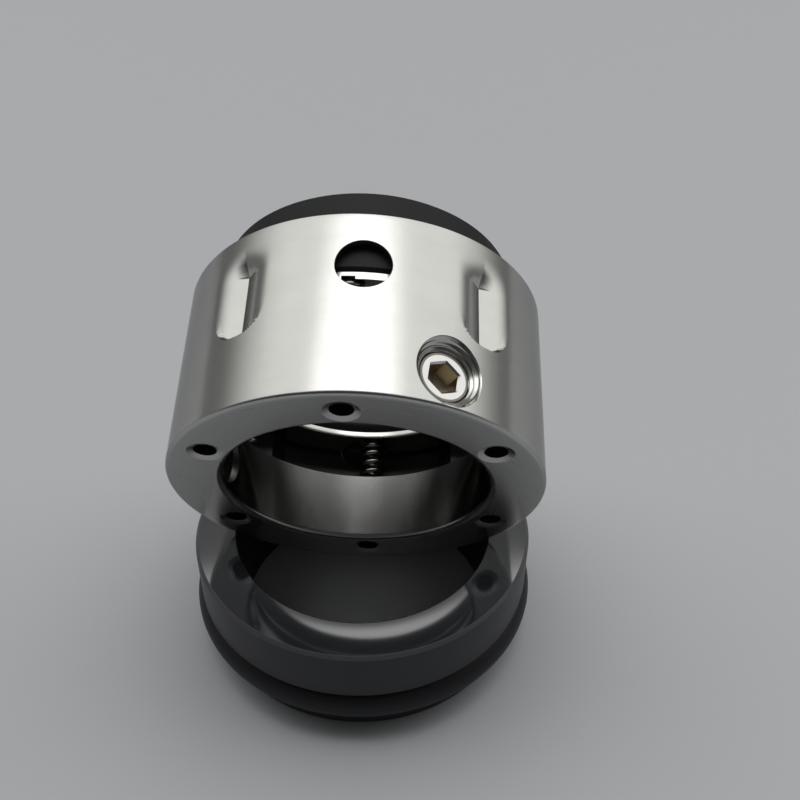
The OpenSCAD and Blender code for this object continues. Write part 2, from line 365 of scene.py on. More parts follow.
@dataclass(frozen=True)
class TurnedSteel(Finish):
    """Bright steel with the fine rings that a lathe leaves.

    Attributes:
        colour: the metal's colour
        roughness: its middle roughness
        lay: how the rings run
        rings: rings to a millimetre
        ring_height: height of the rings in millimetres
        ring_change: how fast a ring changes along itself, to a millimetre
        spread: usual slope of the marks too fine to see
        smear: smears to a millimetre, twice as close along the axis
        wear: how far the roughness varies
        dulling: share of the colour that is left in a smear
        edge_tint: grey of the metal where it is seen at a low angle
    """

    colour: Colour
    roughness: float
    lay: Lay
    rings: float = 5.0
    ring_height: float = 0.002
    ring_change: float = 0.06
    spread: float = 0.0
    smear: float = 0.15
    wear: float = 0.06
    dulling: float = 0.9
    edge_tint: float = 0.6

    def paint(self, shader: Shader) -> bpy.types.Node:
        """Adds the steel's nodes.

        Rings are a noise that changes fast across them and slowly along them; smears are a broad noise.

        Args:
            shader: the tree
        Returns:
            The surface node.
        """
        x, y, z = place = shader.parts(shader.attribute(OWN_PLACE))
        across = z if self.lay is Lay.ROUND else (x * x + y * y) ** 0.5
        rings = shader.noise((across * self.rings, x * self.ring_change, y * self.ring_change), 3.0)
        smears = shader.noise((x * self.smear, y * self.smear, z * (2 * self.smear)), 2.0)
        bump = shader.add("ShaderNodeBump", inputs={"Distance": self.ring_height * MM, "Height": rings})
        if self.spread:
            shader.tree.links.new(shader.streaked(place, self.spread), bump.inputs["Normal"])
        return shader.surface(
            Base_Color=shader.blend(smears, self.colour, tuple(self.dulling * part for part in self.colour)),
            Metallic=1.0,
            Roughness=self.roughness + (rings - 0.5) * self.wear + (smears - 0.5) * self.wear,
            Specular_Tint=(self.edge_tint, self.edge_tint, self.edge_tint, 1.0),
            Normal=bump.outputs[0],
        )


@dataclass(frozen=True)
class Plain(Finish):
    """A smooth even surface that isn't metal, with a faint grain.

    Attributes:
        colour: its colour
        roughness: its middle roughness
        index: its refractive index, which sets how strongly it mirrors
        grain: grains to a millimetre
        grain_depth: strength of the grain's bump
        grain_height: height of a grain at full strength, in millimetres
        wear: how far the roughness varies, as a share of it
    """

    colour: Colour
    roughness: float
    index: float = 1.5
    grain: float = 4.0
    grain_depth: float = 0.0
    grain_height: float = 0.02
    wear: float = 0.2

    def paint(self, shader: Shader) -> bpy.types.Node:
        """Adds the surface's nodes: the grain is an even noise that roughens the surface and lifts it.

        Args:
            shader: the tree
        Returns:
            The surface node.
        """
        grain = shader.noise([part * self.grain for part in shader.parts(shader.attribute(OWN_PLACE))], 2.0)
        lift = shader.add(
            "ShaderNodeBump",
            inputs={"Strength": self.grain_depth, "Distance": self.grain_height * MM, "Height": grain},
        )
        return shader.surface(
            Base_Color=(*self.colour, 1.0),
            Roughness=self.roughness * (grain * self.wear + (1 - self.wear / 2)),
            IOR=self.index,
            Normal=lift.outputs[0],
        )


STEEL_COLOUR = (0.545, 0.542, 0.513)
SKIRT_STEEL = TurnedSteel("skirt_steel", STEEL_COLOUR, 0.18, Lay.ROUND, spread=0.04)
FACED_STEEL = TurnedSteel("faced_steel", (0.46, 0.46, 0.45), 0.26, Lay.FACED)
BORED_STEEL = TurnedSteel("bored_steel", (0.42, 0.417, 0.4), 0.1, Lay.ROUND, spread=0.13)
# painted shade: the skirt's inside and the drive ring's far face get a far darker steel than the outside
SHADE_PAINTED_INSIDE_STEEL = TurnedSteel("painted_shade_inside_steel", (0.12, 0.117, 0.11), 0.5, Lay.ROUND)
# painted shade: the drilled walls of the screw holes and spring pockets are darkened for the shade inside
# them
SHADE_PAINTED_DRILLED_STEEL = TurnedSteel("painted_shade_drilled_steel", (0.16, 0.157, 0.15), 0.3, Lay.ROUND)
CUT_STEEL = TurnedSteel("cut_steel", STEEL_COLOUR, 0.14, Lay.ROUND)
DISC_STEEL = TurnedSteel("disc_steel", STEEL_COLOUR, 0.16, Lay.FACED)
# painted shade: the springs' wire is darkened for the shade inside the shell
SHADE_PAINTED_SPRING_WIRE = TurnedSteel("painted_shade_spring_wire", (0.32, 0.315, 0.3), 0.22, Lay.ROUND, ring_height=0.0)
SCREW_STEEL = TurnedSteel("screw_steel", (0.7, 0.69, 0.66), 0.2, Lay.FACED)
# painted shade: the set screws' threaded sides, down in their holes, are darkened
SHADE_PAINTED_THREAD_STEEL = TurnedSteel("painted_shade_thread_steel", (0.2, 0.19, 0.17), 0.28, Lay.ROUND)
SOCKET_STEEL = TurnedSteel("socket_steel", (0.62, 0.56, 0.45), 0.32, Lay.ROUND)
LAPPED = Plain("lapped_face", (0.034, 0.038, 0.044), 0.09, index=2.65)
CARBON = Plain("carbon", (0.0165, 0.0165, 0.018), 0.52, index=1.3, grain=5.0, grain_depth=0.25)
GROUND = Plain("ground_seat", (0.027, 0.0275, 0.03), 0.4, index=1.36, grain_depth=0.1)
# the seat's chamfer is lighter than its body: partly the ground edge's own grey, partly a painted highlight
EDGE_GREY_AND_HIGHLIGHT = Plain("seat_edge_grey_and_painted_highlight", (0.08, 0.082, 0.087), 0.4)
RUBBER = Plain("black_rubber", (0.013, 0.0133, 0.0158), 0.48, index=1.33)


class Patchwork:
    """Patches of a surface in a piece's own millimetres, welded into one closed mesh."""

    # angle above which an edge stays sharp
    CREASE = 30.0

    def __init__(self, placing: Placing) -> None:
        """Starts with no patch."""
        self.placing = placing
        self.points: list[Array] = []
        self.quads: list[Array] = []
        self.finishes: list[Finish] = []
        self.finish_index: list[Array] = []
        self.count = 0

    def add(self, grid: Array, finish: Finish, keep: Array | None = None) -> None:
        """Adds a grid of points, joined to quads.

        Args:
            grid: the points, rows by columns by 3
            finish: what the patch is finished with
            keep: False for each quad that is left open
        """
        rows, columns = grid.shape[:2]
        index = np.arange(rows * columns).reshape(rows, columns) + self.count
        quads = np.stack([index[:-1, :-1], index[1:, :-1], index[1:, 1:], index[:-1, 1:]], axis=-1)
        quads = quads.reshape(-1, 4) if keep is None else quads[keep]
        if finish not in self.finishes:
            self.finishes.append(finish)
        self.points.append(grid.reshape(-1, 3))
        self.quads.append(quads)
        self.finish_index.append(np.full(len(quads), self.finishes.index(finish)))
        self.count += rows * columns

    def add_placed(self, grid: Array, placing: Placing, finish: Finish) -> None:
        """Adds a grid that is given in another placing's millimetres."""
        self.add(self.placing.to_own(placing.to_frame(grid)), finish)

    def mesh(self, name: str) -> bpy.types.Object:
        """Welds and dresses the patches.

        Args:
            name: the object's name
        Returns:
            The linked object, smooth but for its sharp edges.
        """
        data = self.welded(name)
        for finish in self.finishes:
            data.materials.append(finish.material())
        self.note_places(data)
        data.shade_smooth()
        data.set_sharp_from_angle(angle=math.radians(self.CREASE))
        self.check_closed(data)
        made = bpy.data.objects.new(name, data)
        bpy.context.scene.collection.objects.link(made)
        return made

    def welded(self, name: str) -> bpy.types.Mesh:
        """Joins the patches where their edges meet, with faces outwards.

        Args:
            name: the mesh's name
        Returns:
            The mesh.
        """
        used, quads = np.unique(np.concatenate(self.quads), return_inverse=True)
        points = self.placing.to_frame(np.concatenate(self.points)[used])
        data = bpy.data.meshes.new(name)
        data.from_pydata(points, [], quads.reshape(-1, 4).tolist())
        data.polygons.foreach_set("material_index", np.concatenate(self.finish_index))
        form = bmesh.new()
        form.from_mesh(data)
        bmesh.ops.remove_doubles(form, verts=form.verts, dist=WELD)
        bmesh.ops.recalc_face_normals(form, faces=form.faces)
        form.to_mesh(data)
        form.free()
        return data

    def note_places(self, data: bpy.types.Mesh) -> None:
        """Keeps each point's own place and the piece's axis in the mesh, for the finishes.

        Args:
            data: the mesh
        """
        places = np.empty(len(data.vertices) * 3)
        data.vertices.foreach_get("co", places)
        own = self.placing.to_own(places.reshape(-1, 3))
        for name, vectors in ((OWN_PLACE, own.ravel()), (OWN_AXIS, np.tile(self.placing.axis, len(own)))):
            data.attributes.new(name, "FLOAT_VECTOR", "POINT").data.foreach_set("vector", vectors)

    def check_closed(self, data: bpy.types.Mesh) -> None:
        """Reports edges that don't join two faces.

        Args:
            data: the mesh
        """
        edges = np.empty(len(data.loops), int)
        data.loops.foreach_get("edge_index", edges)
        unclosed = int((np.bincount(edges, minlength=len(data.edges)) != 2).sum())
        if unclosed:
            log.warning("%s has %d edges that aren't closed", data.name, unclosed)


def lines(step: float, *marks: float) -> Array:
    """Grid lines that pass through every mark.

    Args:
        step: the widest gap between lines
        marks: places that get a line; the first and last are the ends
    Returns:
        The lines in order, evenly spread between one mark and the next.
    """
    stops = np.unique(np.round(marks, 6))
    parts = [
        np.linspace(low, high, math.ceil((high - low) / step - 1e-9) + 1)[:-1]
        for low, high in zip(stops[:-1], stops[1:])
    ]
    return np.concatenate([*parts, stops[-1:]])


def nearest(values: Array, wanted: float) -> int:
    """Returns the index of the value nearest to the wanted one."""
    return int(np.argmin(np.abs(values - wanted)))


def round_corners(corners: Sequence[Point], closed: bool = True, steps: int = 4) -> Array:
    """A section's outline with its corners rounded by short curves.

    A corner becomes a quadratic curve that leaves one side and joins the next at the given distance
    from the corner, with the corner as its control point.

    Args:
        corners: radius, height and rounding distance of each corner
        closed: whether the outline returns to its start
        steps: points to a rounded corner, less one
    Returns:
        The outline's points, two columns.
    """
    spots = np.array(corners)
    here, size = spots[:, :2], spots[:, 2:]
    to_last = np.roll(here, 1, axis=0) - here
    to_next = np.roll(here, -1, axis=0) - here
    start = here + size * to_last / np.linalg.norm(to_last, axis=1, keepdims=True)
    end = here + size * to_next / np.linalg.norm(to_next, axis=1, keepdims=True)
    share = np.linspace(0, 1, steps + 1)[None, :, None]
    rest = 1 - share
    curves = rest**2 * start[:, None] + 2 * share * rest * here[:, None] + share**2 * end[:, None]
    if not closed:
        curves[0], curves[-1] = here[0], here[-1]
    outline = curves.reshape(-1, 2)
    fresh = np.linalg.norm(np.diff(outline, axis=0, prepend=outline[:1] + 1), axis=1) > 1e-9
    outline = outline[fresh]
    return np.concatenate([outline, outline[:1]]) if closed else outline


def polar(radius: Array | float, turn: Array, height: Array | float) -> Array:
    """Points from radius, turn and height: radius times cosine and sine of the turn, and the height."""
    angle = np.radians(turn)
    return np.stack(np.broadcast_arrays(radius * np.cos(angle), radius * np.sin(angle), height), axis=-1)


def revolve(outline: Array, turns: Array) -> Array:
    """Returns a grid, outline points by turns: an outline of radius and height carried round the axis."""
    return polar(outline[:, :1], turns[None, :], outline[:, 1:])


def bearings(across: Array, along: Array) -> Array:
    """Returns the angles of points seen from a hole's middle, running on without a jump."""
    return np.degrees(np.unwrap(np.arctan2(along, across)))


def soft_least(first: Array, second: Array, width: float) -> Array:
    """Returns the lesser of two values, with the change from one to the other rounded over a width."""
    share = np.clip(0.5 + (second - first) / (2 * width), 0, 1)
    return second + (first - second) * share - width * share * (1 - share)


@dataclass(frozen=True)
class Thread:
    """A screw thread with flat crests and roots.

    Attributes:
        pitch: distance between crests
        root_r: radius of the screw's roots
        depth: height of the screw's crests over its roots
        room: how much wider the nut's thread is, on radius
        root_share, crest_share: widths of a root and a crest in pitches
        rows_to_pitch: grid rows to a pitch
    """

    pitch: float = 0.625
    root_r: float = 3.56
    depth: float = 0.32
    room: float = 0.1
    root_share: float = 0.25
    crest_share: float = 0.125
    rows_to_pitch: int = 12

    def radius(self, bearing: Array, height: Array) -> Array:
        """Returns the screw's radius: its roots plus the ramp's share of its depth."""
        return self.root_r + self.depth * self.ramp(bearing, height)

    def ramp(self, bearing: Array, height: Array) -> Array:
        """The thread's rise from root to crest, an even slope between the two that climbs a pitch to a turn.

        Args:
            bearing: angle round the screw
            height: place along the screw
        Returns:
            A share from 0 at a root to 1 at a crest.
        """
        phase = np.mod(height / self.pitch - bearing / TURN, 1.0)
        flank = 1 - self.root_share - self.crest_share
        return np.clip((np.abs(2 * phase - 1) - self.root_share) / flank, 0, 1)

    def rows(self, bearing: Array, low: float, high: float) -> Array:
        """Heights of grid rows that climb with the thread.

        Args:
            bearing: angles of the grid's columns, from one end of a turn to the other
            low: lowest height
            high: highest height
        Returns:
            Heights, rows by columns, held between low and high.
        """
        step = self.pitch / self.rows_to_pitch
        first = np.floor((low - self.pitch) / step) * step
        starts = np.arange(first, high + step, step)
        climb = self.pitch * (bearing - bearing[0]) / TURN
        return np.clip(starts[:, None] + climb[None, :], low, high)


@dataclass(frozen=True)
class Dents:
    """The V-shaped dents pressed into the skirt, which drive the seal ring.

    Attributes:
        turns: angles of the dents
        width: a dent's width at the surface
        depth: a dent's depth
        start: height where a dent begins at its middle
        bow: how much higher it begins at its sides
        full: height up to which it has its full depth
        end: height where it has run out
        lip, lead: length over which its blunt end drops, and how far before it the close grid lines begin
        soft: how far its shoulders are rounded
        fading, faded: heights between which it fades on the outside
        crease: depth of the fold where it begins to run out
        crease_reach, crease_width: how far the fold reaches sideways, and its width
        crease_step: gap between the grid lines over the fold
        edge_turns: angles of the first grid lines beside a dent's middle
        flank_lines: grid lines across a flank
    """

    turns: tuple[float, ...]
    width: float = 6.5
    depth: float = 1.4
    start: float = 11.0
    bow: float = 1.6
    full: float = 21.4
    end: float = 25.75
    lip: float = 0.3
    lead: float = 0.05
    soft: float = 0.8
    fading: float = 20.9
    faded: float = 25.3
    crease: float = 0.11
    crease_reach: float = 1.6
    crease_width: float = 0.07
    crease_step: float = 0.02
    edge_turns: tuple[float, float, float] = (0.0, 0.15, 0.5)
    flank_lines: int = 16

    def slope(self, surface_r: float) -> float:
        """Returns a flank's rise for each millimetre sideways: it meets the surface at half the width."""
        drop = surface_r - math.sqrt(surface_r**2 - self.width**2 / 4)
        return (self.depth - drop) / (self.width / 2)

    def off(self, turn: Array) -> Array:
        """Returns the angle in radians from the nearest dent's middle, no more than a twelfth of a turn."""
        off = np.min([np.abs(np.mod(turn - dent + TURN / 2, TURN) - TURN / 2) for dent in self.turns], axis=0)
        return np.radians(np.minimum(off, TURN / 12))

    def flank(self, edge_r: Array | float, turn: Array, slope: float) -> Array:
        """Radius of a V whose edge lies at edge_r.

        A flank is a plane: its distance along the dent's own direction is edge_r plus slope times the
        distance sideways, so radius is edge_r over cosine minus slope times sine of the angle off the dent.

        Args:
            edge_r: radius of the V's edge
            turn: angle
            slope: rise of the flanks
        Returns:
            The radius for the nearest dent, and a large one far from every dent.
        """
        angle = self.off(turn)
        return edge_r / (np.cos(angle) - slope * np.sin(angle))

    def run_out(self, height: Array) -> Array:
        """Returns the share of the depth that is left towards the far end, falling evenly from 1 to 0."""
        return np.clip((self.end - height) / (self.end - self.full), 0, 1)

    def pressed(self, surface_r: float, turn: Array, height: Array) -> Array:
        """Radius of a surface with the dents pressed into it.

        The press-in is what the flanks take away, with a soft lesser value at the shoulders. It grows over
        the lip, which bows away at the sides, and fades on a cosine. A fold crosses the V near its end.

        Args:
            surface_r: the plain surface's radius
            turn: angle
            height: place on the axis
        Returns:
            The radius.
        """
        side = surface_r * np.sin(self.off(turn))
        bowed = self.start + self.bow * (2 * side / self.width) ** 3
        along = np.clip((height - self.fading) / (self.faded - self.fading), 0, 1)
        share = np.minimum(np.clip((height - bowed) / self.lip, 0, 1), 0.5 + 0.5 * np.cos(np.pi * along))
        flank = self.flank(surface_r - self.depth, turn, self.slope(surface_r))
        sunk = surface_r - soft_least(np.full_like(flank, surface_r), flank, self.soft)
        fold_at = (height - self.full) / self.crease_width
        fold = self.crease * np.exp(-(fold_at**2)) * np.clip(1 - side / self.crease_reach, 0, 1)
        return surface_r - share * sunk - fold

    def marks(self, surface_r: float, beyond: float) -> Array:
        """Angles that get a grid line.

        Args:
            surface_r: the surface's radius
            beyond: how far the close lines reach beyond a dent's sides
        Returns:
            Close lines across each dent.
        """
        *near, first = self.edge_turns
        half = math.degrees(math.asin(self.width / 2 / surface_r))
        across = [*near, *np.linspace(first, half + beyond, self.flank_lines)]
        return np.array([dent + side * off for dent in self.turns for side in (-1, 1) for off in across])

    def levels(self) -> list[float]:
        """Heights that get a grid line.

        Returns:
            Close lines over the blunt end and the fold, and the end.
        """
        step = self.crease_step
        blunt = np.arange(self.start - self.lead, self.start + self.bow + 2 * self.lip, self.lip / 3)
        fold = np.arange(self.full - 8 * step, self.full + 8.5 * step, step)
        return [*blunt, *fold, self.end]


@dataclass(frozen=True)
class RotarySizes:
    """Sizes that the rotary unit's pieces share, along its axis from the drive end.

    Attributes:
        bore_r, bore_chamfer: the shaft's bore and its chamfer at the drive end
        drive_len: length of the drive ring
        skirt_in_r, shell_r, shell_len: the skirt's inside, the shell's outside and its length
        chamfer, rim_chamfer: the shell's outer chamfers at the drive end and at the far rim
        slide_r: radius of the seal ring's shoulder, which slides in the skirt
        disc_r, disc_z: the thrust disc's radius, and the height of its face to the springs
        ring_in_r, ring_z: the seal ring's bore, and the height of its face to the disc
        spring_circle_r, spring_first, spring_count: the circle of the springs, the first one and their number
        snap_z: height of the retaining ring's face to the seal ring
        screw_z, screw_in_r: height of the set screws' axes, and the distance of their points from the axis
        screw_turns, socket_turns: angles of the set screws, and of a corner of each one's socket
        window_turns: angles of the flushing windows
        dent_off: angle of the dents from a window
        first_turn: angle at which the grids begin
        slot_clearance: room between a dent's inside and the slots
    """

    bore_r: float = 19.1
    bore_chamfer: float = 0.5
    drive_len: float = 11.0
    skirt_in_r: float = 26.1
    shell_r: float = 27.0
    shell_len: float = 28.1
    chamfer: float = 0.3
    rim_chamfer: float = 0.225
    slide_r: float = 25.5
    disc_r: float = 25.1
    disc_z: float = 18.5
    ring_in_r: float = 19.45
    ring_z: float = 19.6
    spring_circle_r: float = 22.55
    spring_first: float = -2.0
    spring_count: int = 6
    snap_z: float = 25.8
    screw_z: float = 5.5
    screw_in_r: float = 19.25
    screw_turns: tuple[float, ...] = (28.0, -92.0)
    socket_turns: tuple[float, ...] = (22.0, 30.0)
    window_turns: tuple[float, ...] = (2.5, 182.5)
    dent_off: float = 37.6
    first_turn: float = -150.0
    slot_clearance: float = 0.35

    def within(self, turn: Array | float) -> Array | float:
        """Returns the same angle in the turn that begins at first_turn."""
        return self.first_turn + np.mod(turn - self.first_turn, TURN)

    @property
    def spring_turns(self) -> list[float]:
        """Angles of the springs, evenly round the axis."""
        step = TURN / self.spring_count
        return [self.within(self.spring_first + step * index) for index in range(self.spring_count)]

    @property
    def dents(self) -> Dents:
        """The dents, one on each side of every window."""
        return Dents(tuple(turn + side * self.dent_off for turn in self.window_turns for side in (-1, 1)))

    def turn_lines(
        self, step: float, radius: float, sides: Sequence[float] = (), beyond: float = 0.0
    ) -> Array:
        """Angles of a grid's lines, close together over the dents.

        Args:
            step: the widest gap between lines
            radius: the surface's radius
            sides: other angles that get a line
            beyond: how far the close lines reach beyond a dent's sides
        Returns:
            The angles in order, one turn from the first to the last.
        """
        dents = self.within(self.dents.marks(radius, beyond))
        return lines(step, self.first_turn, self.first_turn + TURN, *sides, *dents)

    def slot_radius(self, turn: Array) -> Array:
        """Returns the radius of the slots that clear the dents' inside."""
        edge_r = self.skirt_in_r - self.dents.depth - self.slot_clearance
        return self.dents.flank(edge_r, turn, self.dents.slope(self.shell_r))


@dataclass
class Piece(ABC):
    """A piece that stands for one CAD node.

    Attributes:
        node: the CAD node
        body: the CAD body that it moves with
        slot: the record's material slot; not used
        placing: where its own axes lie
    """

    node: str
    body: str
    slot: str
    placing: Placing

    @abstractmethod
    def surface(self) -> Patchwork:
        """Works out the piece's closed surface."""

    def build(self) -> bpy.types.Object:
        """Makes the mesh, and has it ride on its body in its node's place.

        Returns:
            The object.
        """
        made = self.surface().mesh(f"{self.node}_look")
        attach(made, self.body)
        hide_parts(self.node)
        return made


@dataclass
class Wall:
    """A surface over turns and a second measure, with cells left open for holes.

    Attributes:
        work: the patches that it adds to
        turns: angles of the grid's lines
        levels: the grid's lines along the second measure
        place: the function that places turns and levels in space
        finish: what the surface is finished with
        rings: rings of quads between a hole and its cell's border
        crowding: power by which the rings crowd at the hole
        keep: False for each quad that is left open
    """

    work: Patchwork
    turns: Array
    levels: Array
    place: Callable[[Array, Array], Array]
    finish: Finish
    rings: int = 7
    crowding: float = 1.6
    keep: Array = field(init=False)

    def __post_init__(self) -> None:
        """Starts with no cell open."""
        self.keep = np.ones((len(self.levels) - 1, len(self.turns) - 1), bool)

    def open_cell(self, turn: float, half_turn: float, low: float, high: float) -> Array:
        """Leaves a cell of the grid open.

        Args:
            turn: the cell's middle
            half_turn: half the cell's angle
            low: lowest level
            high: highest level
        Returns:
            The turns and levels of the cell's border, round it from its lowest corner and back to it.
        """
        left, right = (nearest(self.turns, turn + side * half_turn) for side in (-1, 1))
        bottom, top = nearest(self.levels, low), nearest(self.levels, high)
        self.keep[bottom:top, left:right] = False
        across, up = np.arange(left, right), np.arange(bottom, top)
        wide, tall = np.ones_like(across), np.ones_like(up)
        columns = np.concatenate([across, right * tall, across[::-1] + 1, left * tall, [left]])
        rows = np.concatenate([bottom * wide, up, top * wide, up[::-1] + 1, [bottom]])
        return np.stack([self.turns[columns], self.levels[rows]], axis=-1)

    def patch(self, edge: Array, border: Array) -> None:
        """Fills a cell from a hole's edge out to the cell's border.

        A ring lies between the two by a share that grows as a power, so that rings crowd at the hole.

        Args:
            edge: turns and levels of the hole's edge
            border: turns and levels of the cell's border
        """
        share = np.linspace(0, 1, self.rings + 1)[:, None, None] ** self.crowding
        spots = edge + (border - edge) * share
        self.work.add(self.place(spots[..., 0], spots[..., 1]), self.finish)

    def add(self) -> None:
        """Adds the grid outside the cells."""
        turns, levels = np.meshgrid(self.turns, self.levels)
        self.work.add(self.place(turns, levels), self.finish, self.keep)


@dataclass(frozen=True)
class CrossHole:
    """A hole that crosses the shell's wall square to its axis.

    Attributes:
        turn: angle of the hole's axis
        height: height of the hole's axis
        bearing: angles of the grid's lines round the hole
    """

    turn: float
    height: float
    bearing: Array

    @classmethod
    def inside(cls, border: Array, turn: float, height: float, radius: float) -> CrossHole:
        """A hole in the middle of a cell, with a line to each point of the cell's border.

        Args:
            border: turns and heights of the border
            turn: angle of the hole's axis
            height: height of the hole's axis
            radius: the cell's distance from the shell's axis
        Returns:
            The hole.
        """
        across = radius * np.radians(border[:, 0] - turn)
        return cls(turn, height, bearings(across, border[:, 1] - height))

    def ring(self, cylinder_r: float, hole_r: Array | float) -> Array:
        """Returns the hole's edge on a cylinder, at the height along the hole where the two meet."""
        across = hole_r * np.cos(np.radians(self.bearing))
        return polar(hole_r, self.bearing, np.sqrt(cylinder_r**2 - across**2))

    def edge(self, cylinder_r: float, hole_r: Array | float) -> Array:
        """The hole's edge on a cylinder as turns and heights.

        The angle off the hole's axis is the arc sine of the distance across over the cylinder's radius.

        Args:
            cylinder_r: the cylinder's radius
            hole_r: the hole's radius at each bearing
        Returns:
            Turns and heights.
        """
        angle = np.radians(self.bearing)
        off = np.degrees(np.arcsin(hole_r * np.cos(angle) / cylinder_r))
        return np.stack([self.turn + off, self.height + hole_r * np.sin(angle)], axis=-1)


@dataclass(frozen=True)
class Countersink:
    """A cone round a hole's axis.

    Attributes:
        hole_r: radius at its narrow end
        start: place of its narrow end along the hole
        slope: change of its radius for each millimetre along the hole
        tries: steps in which its meeting with a cylinder is found
    """

    hole_r: float
    start: float
    slope: float
    tries: int = 40

    def radius(self, height: Array) -> Array:
        """Returns the radius at a height: the hole's plus slope times the distance from the start."""
        return self.hole_r + self.slope * (height - self.start)

    def height(self, radius: Array) -> Array:
        """Returns the height at which the cone has a radius, the reverse of radius."""
        return self.start + (radius - self.hole_r) / self.slope

    def meet(self, cylinder_r: float, bearing: Array) -> Array:
        """Radius at which the cone meets a cylinder that the hole crosses.

        It is found by repeated substitution: the cone's radius at the cylinder's height there.

        Args:
            cylinder_r: the cylinder's radius
            bearing: angles round the hole
        Returns:
            The radius for each bearing.
        """
        found = np.full(len(bearing), self.hole_r)
        for _ in range(self.tries):
            across = found * np.cos(np.radians(bearing))
            found = 0.5 * (found + self.radius(np.sqrt(cylinder_r**2 - across**2)))
        return found


@dataclass
class Shell(Piece):
    """The turned shell: a thick drive ring and a thin skirt with windows, dents and holes.

    Attributes:
        sizes: the rotary unit's sizes
        thread: the set screws' thread
        edge: how far a sharp edge is rounded
        front_edge: how far the drive end's outer chamfer is rounded
        bore_lip, bore_round: how far the drive end's face keeps from the bore, and the rounding between them
        shoulder_turn: angle by which close grid lines reach beyond a dent
        window_r: radius of a flushing window
        window_cell, window_reach: half the angle and half the height of a window's cell
        screw_cell, screw_cell_top: half the angle and the top of a screw hole's cell
        hole_r, sink: a screw hole's radius under its outer countersink, and that one's depth
        fade_top, fade_len: where the thread has run out in that countersink, and the length of its fading
        inner_sink_low, inner_sink_slope: where the countersink to the bore begins, and how fast it widens
        pocket_cell: half the angle of a spring pocket's cell
        pocket_r, pocket_floor: a spring pocket's radius and its floor's height
        end_hole_r, end_sink_r, end_sink_depth: the hole from a pocket to the drive end, and its countersink
        pocket_rounds: roundings of the end hole's countersink, the pocket's floor and the pocket's mouth
        groove_r, groove_low, groove_high: the retaining ring's groove
        turn_step, level_step, face_rows: widest gaps between grid lines, and rows across a flat face
    """

    sizes: RotarySizes
    thread: Thread
    edge: float = 0.04
    front_edge: float = 0.2
    bore_lip: float = 0.85
    bore_round: float = 0.3
    shoulder_turn: float = 4.5
    window_r: float = 3.8
    window_cell: float = 11.0
    window_reach: float = 4.4
    screw_cell: float = 16.0
    screw_cell_top: float = 10.8
    hole_r: float = 4.0
    sink: float = 1.1
    fade_top: float = 26.6
    fade_len: float = 1.0
    inner_sink_low: float = 19.35
    inner_sink_slope: float = 0.8
    pocket_cell: float = 8.5
    pocket_r: float = 2.4
    pocket_floor: float = 4.0
    end_hole_r: float = 1.6
    end_sink_r: float = 2.5
    end_sink_depth: float = 0.3
    pocket_rounds: tuple[float, float, float] = (0.05, 0.1, 0.02)
    groove_r: float = 26.55
    groove_low: float = 25.75
    groove_high: float = 27.05
    turn_step: float = 1.8
    level_step: float = 1.0
    face_rows: int = 10

    def surface(self) -> Patchwork:
        """Lays out the walls, opens their cells, and joins them by the holes' sleeves and the rims.

        Returns:
            The shell's patches.
        """
        work = Patchwork(self.placing)
        turns = self.turn_lines()
        shares = np.linspace(0, 1, self.face_rows + 1)
        outer = Wall(work, turns, self.outer_levels(), self.outer_place, SKIRT_STEEL)
        bore = Wall(work, turns, self.bore_levels(), self.bore_place, BORED_STEEL)
        # the skirt's inside and the drive ring's far face carry painted shade
        inner = Wall(work, turns, self.inner_levels(), self.inner_place, SHADE_PAINTED_INSIDE_STEEL)
        front = Wall(work, turns, shares, self.front_place, FACED_STEEL)
        back = Wall(work, turns, shares, self.back_place, SHADE_PAINTED_INSIDE_STEEL)
        for turn in self.sizes.window_turns:
            self.window(outer, inner, turn)
        for turn in self.sizes.screw_turns:
            self.screw_hole(outer, bore, turn)
        for turn in self.sizes.spring_turns:
            self.pocket(front, back, turn)
        for wall in (outer, bore, inner, front, back):
            wall.add()
        self.rims(work, turns)
        return work

    def turn_lines(self) -> Array:
        """Angles of the grid's lines, through every cell's sides and every dent.

        Returns:
            The angles in order.
        """
        sizes = self.sizes
        cells = (
            (sizes.window_turns, self.window_cell),
            (sizes.screw_turns, self.screw_cell),
            (sizes.spring_turns, self.pocket_cell),
        )
        sides = [turn + side * half for group, half in cells for turn in group for side in (-1, 1)]
        return sizes.turn_lines(self.turn_step, sizes.shell_r, sides, self.shoulder_turn)

    def window_levels(self) -> tuple[float, float]:
        """Returns the heights of the lower and upper side of a window's cell."""
        return self.sizes.ring_z - self.window_reach, self.sizes.ring_z + self.window_reach

    def outer_levels(self) -> Array:
        """Heights of the outside's grid lines, between its two chamfers.

        Returns:
            The heights in order.
        """
        sizes = self.sizes
        low, high = sizes.chamfer + self.front_edge, sizes.shell_len - sizes.rim_chamfer - self.edge
        marks = (*sizes.dents.levels(), *self.window_levels())
        return lines(self.level_step, low, self.screw_cell_top, *marks, high)

    def outer_place(self, turn: Array, height: Array) -> Array:
        """Returns points of the outside: its radius with the dents pressed in."""
        return polar(self.sizes.dents.pressed(self.sizes.shell_r, turn, height), turn, height)

    def bore_levels(self) -> Array:
        """Returns heights of the bore's grid lines, as many as a screw's cell has outside."""
        rows = len(lines(self.level_step, self.sizes.chamfer + self.front_edge, self.screw_cell_top))
        return np.linspace(self.bore_lip, self.sizes.drive_len - 2 * self.edge, rows)

    def bore_place(self, turn: Array, height: Array) -> Array:
        """Returns points of the drive ring's bore, a plain cylinder."""
        return polar(self.sizes.bore_r, turn, height)

    def inner_levels(self) -> Array:
        """Returns heights of the grid lines inside the skirt, from the drive ring to the groove."""
        marks = (level for level in self.sizes.dents.levels() if level > self.sizes.drive_len)
        return lines(self.level_step, self.sizes.drive_len, *marks, *self.window_levels(), self.groove_low)

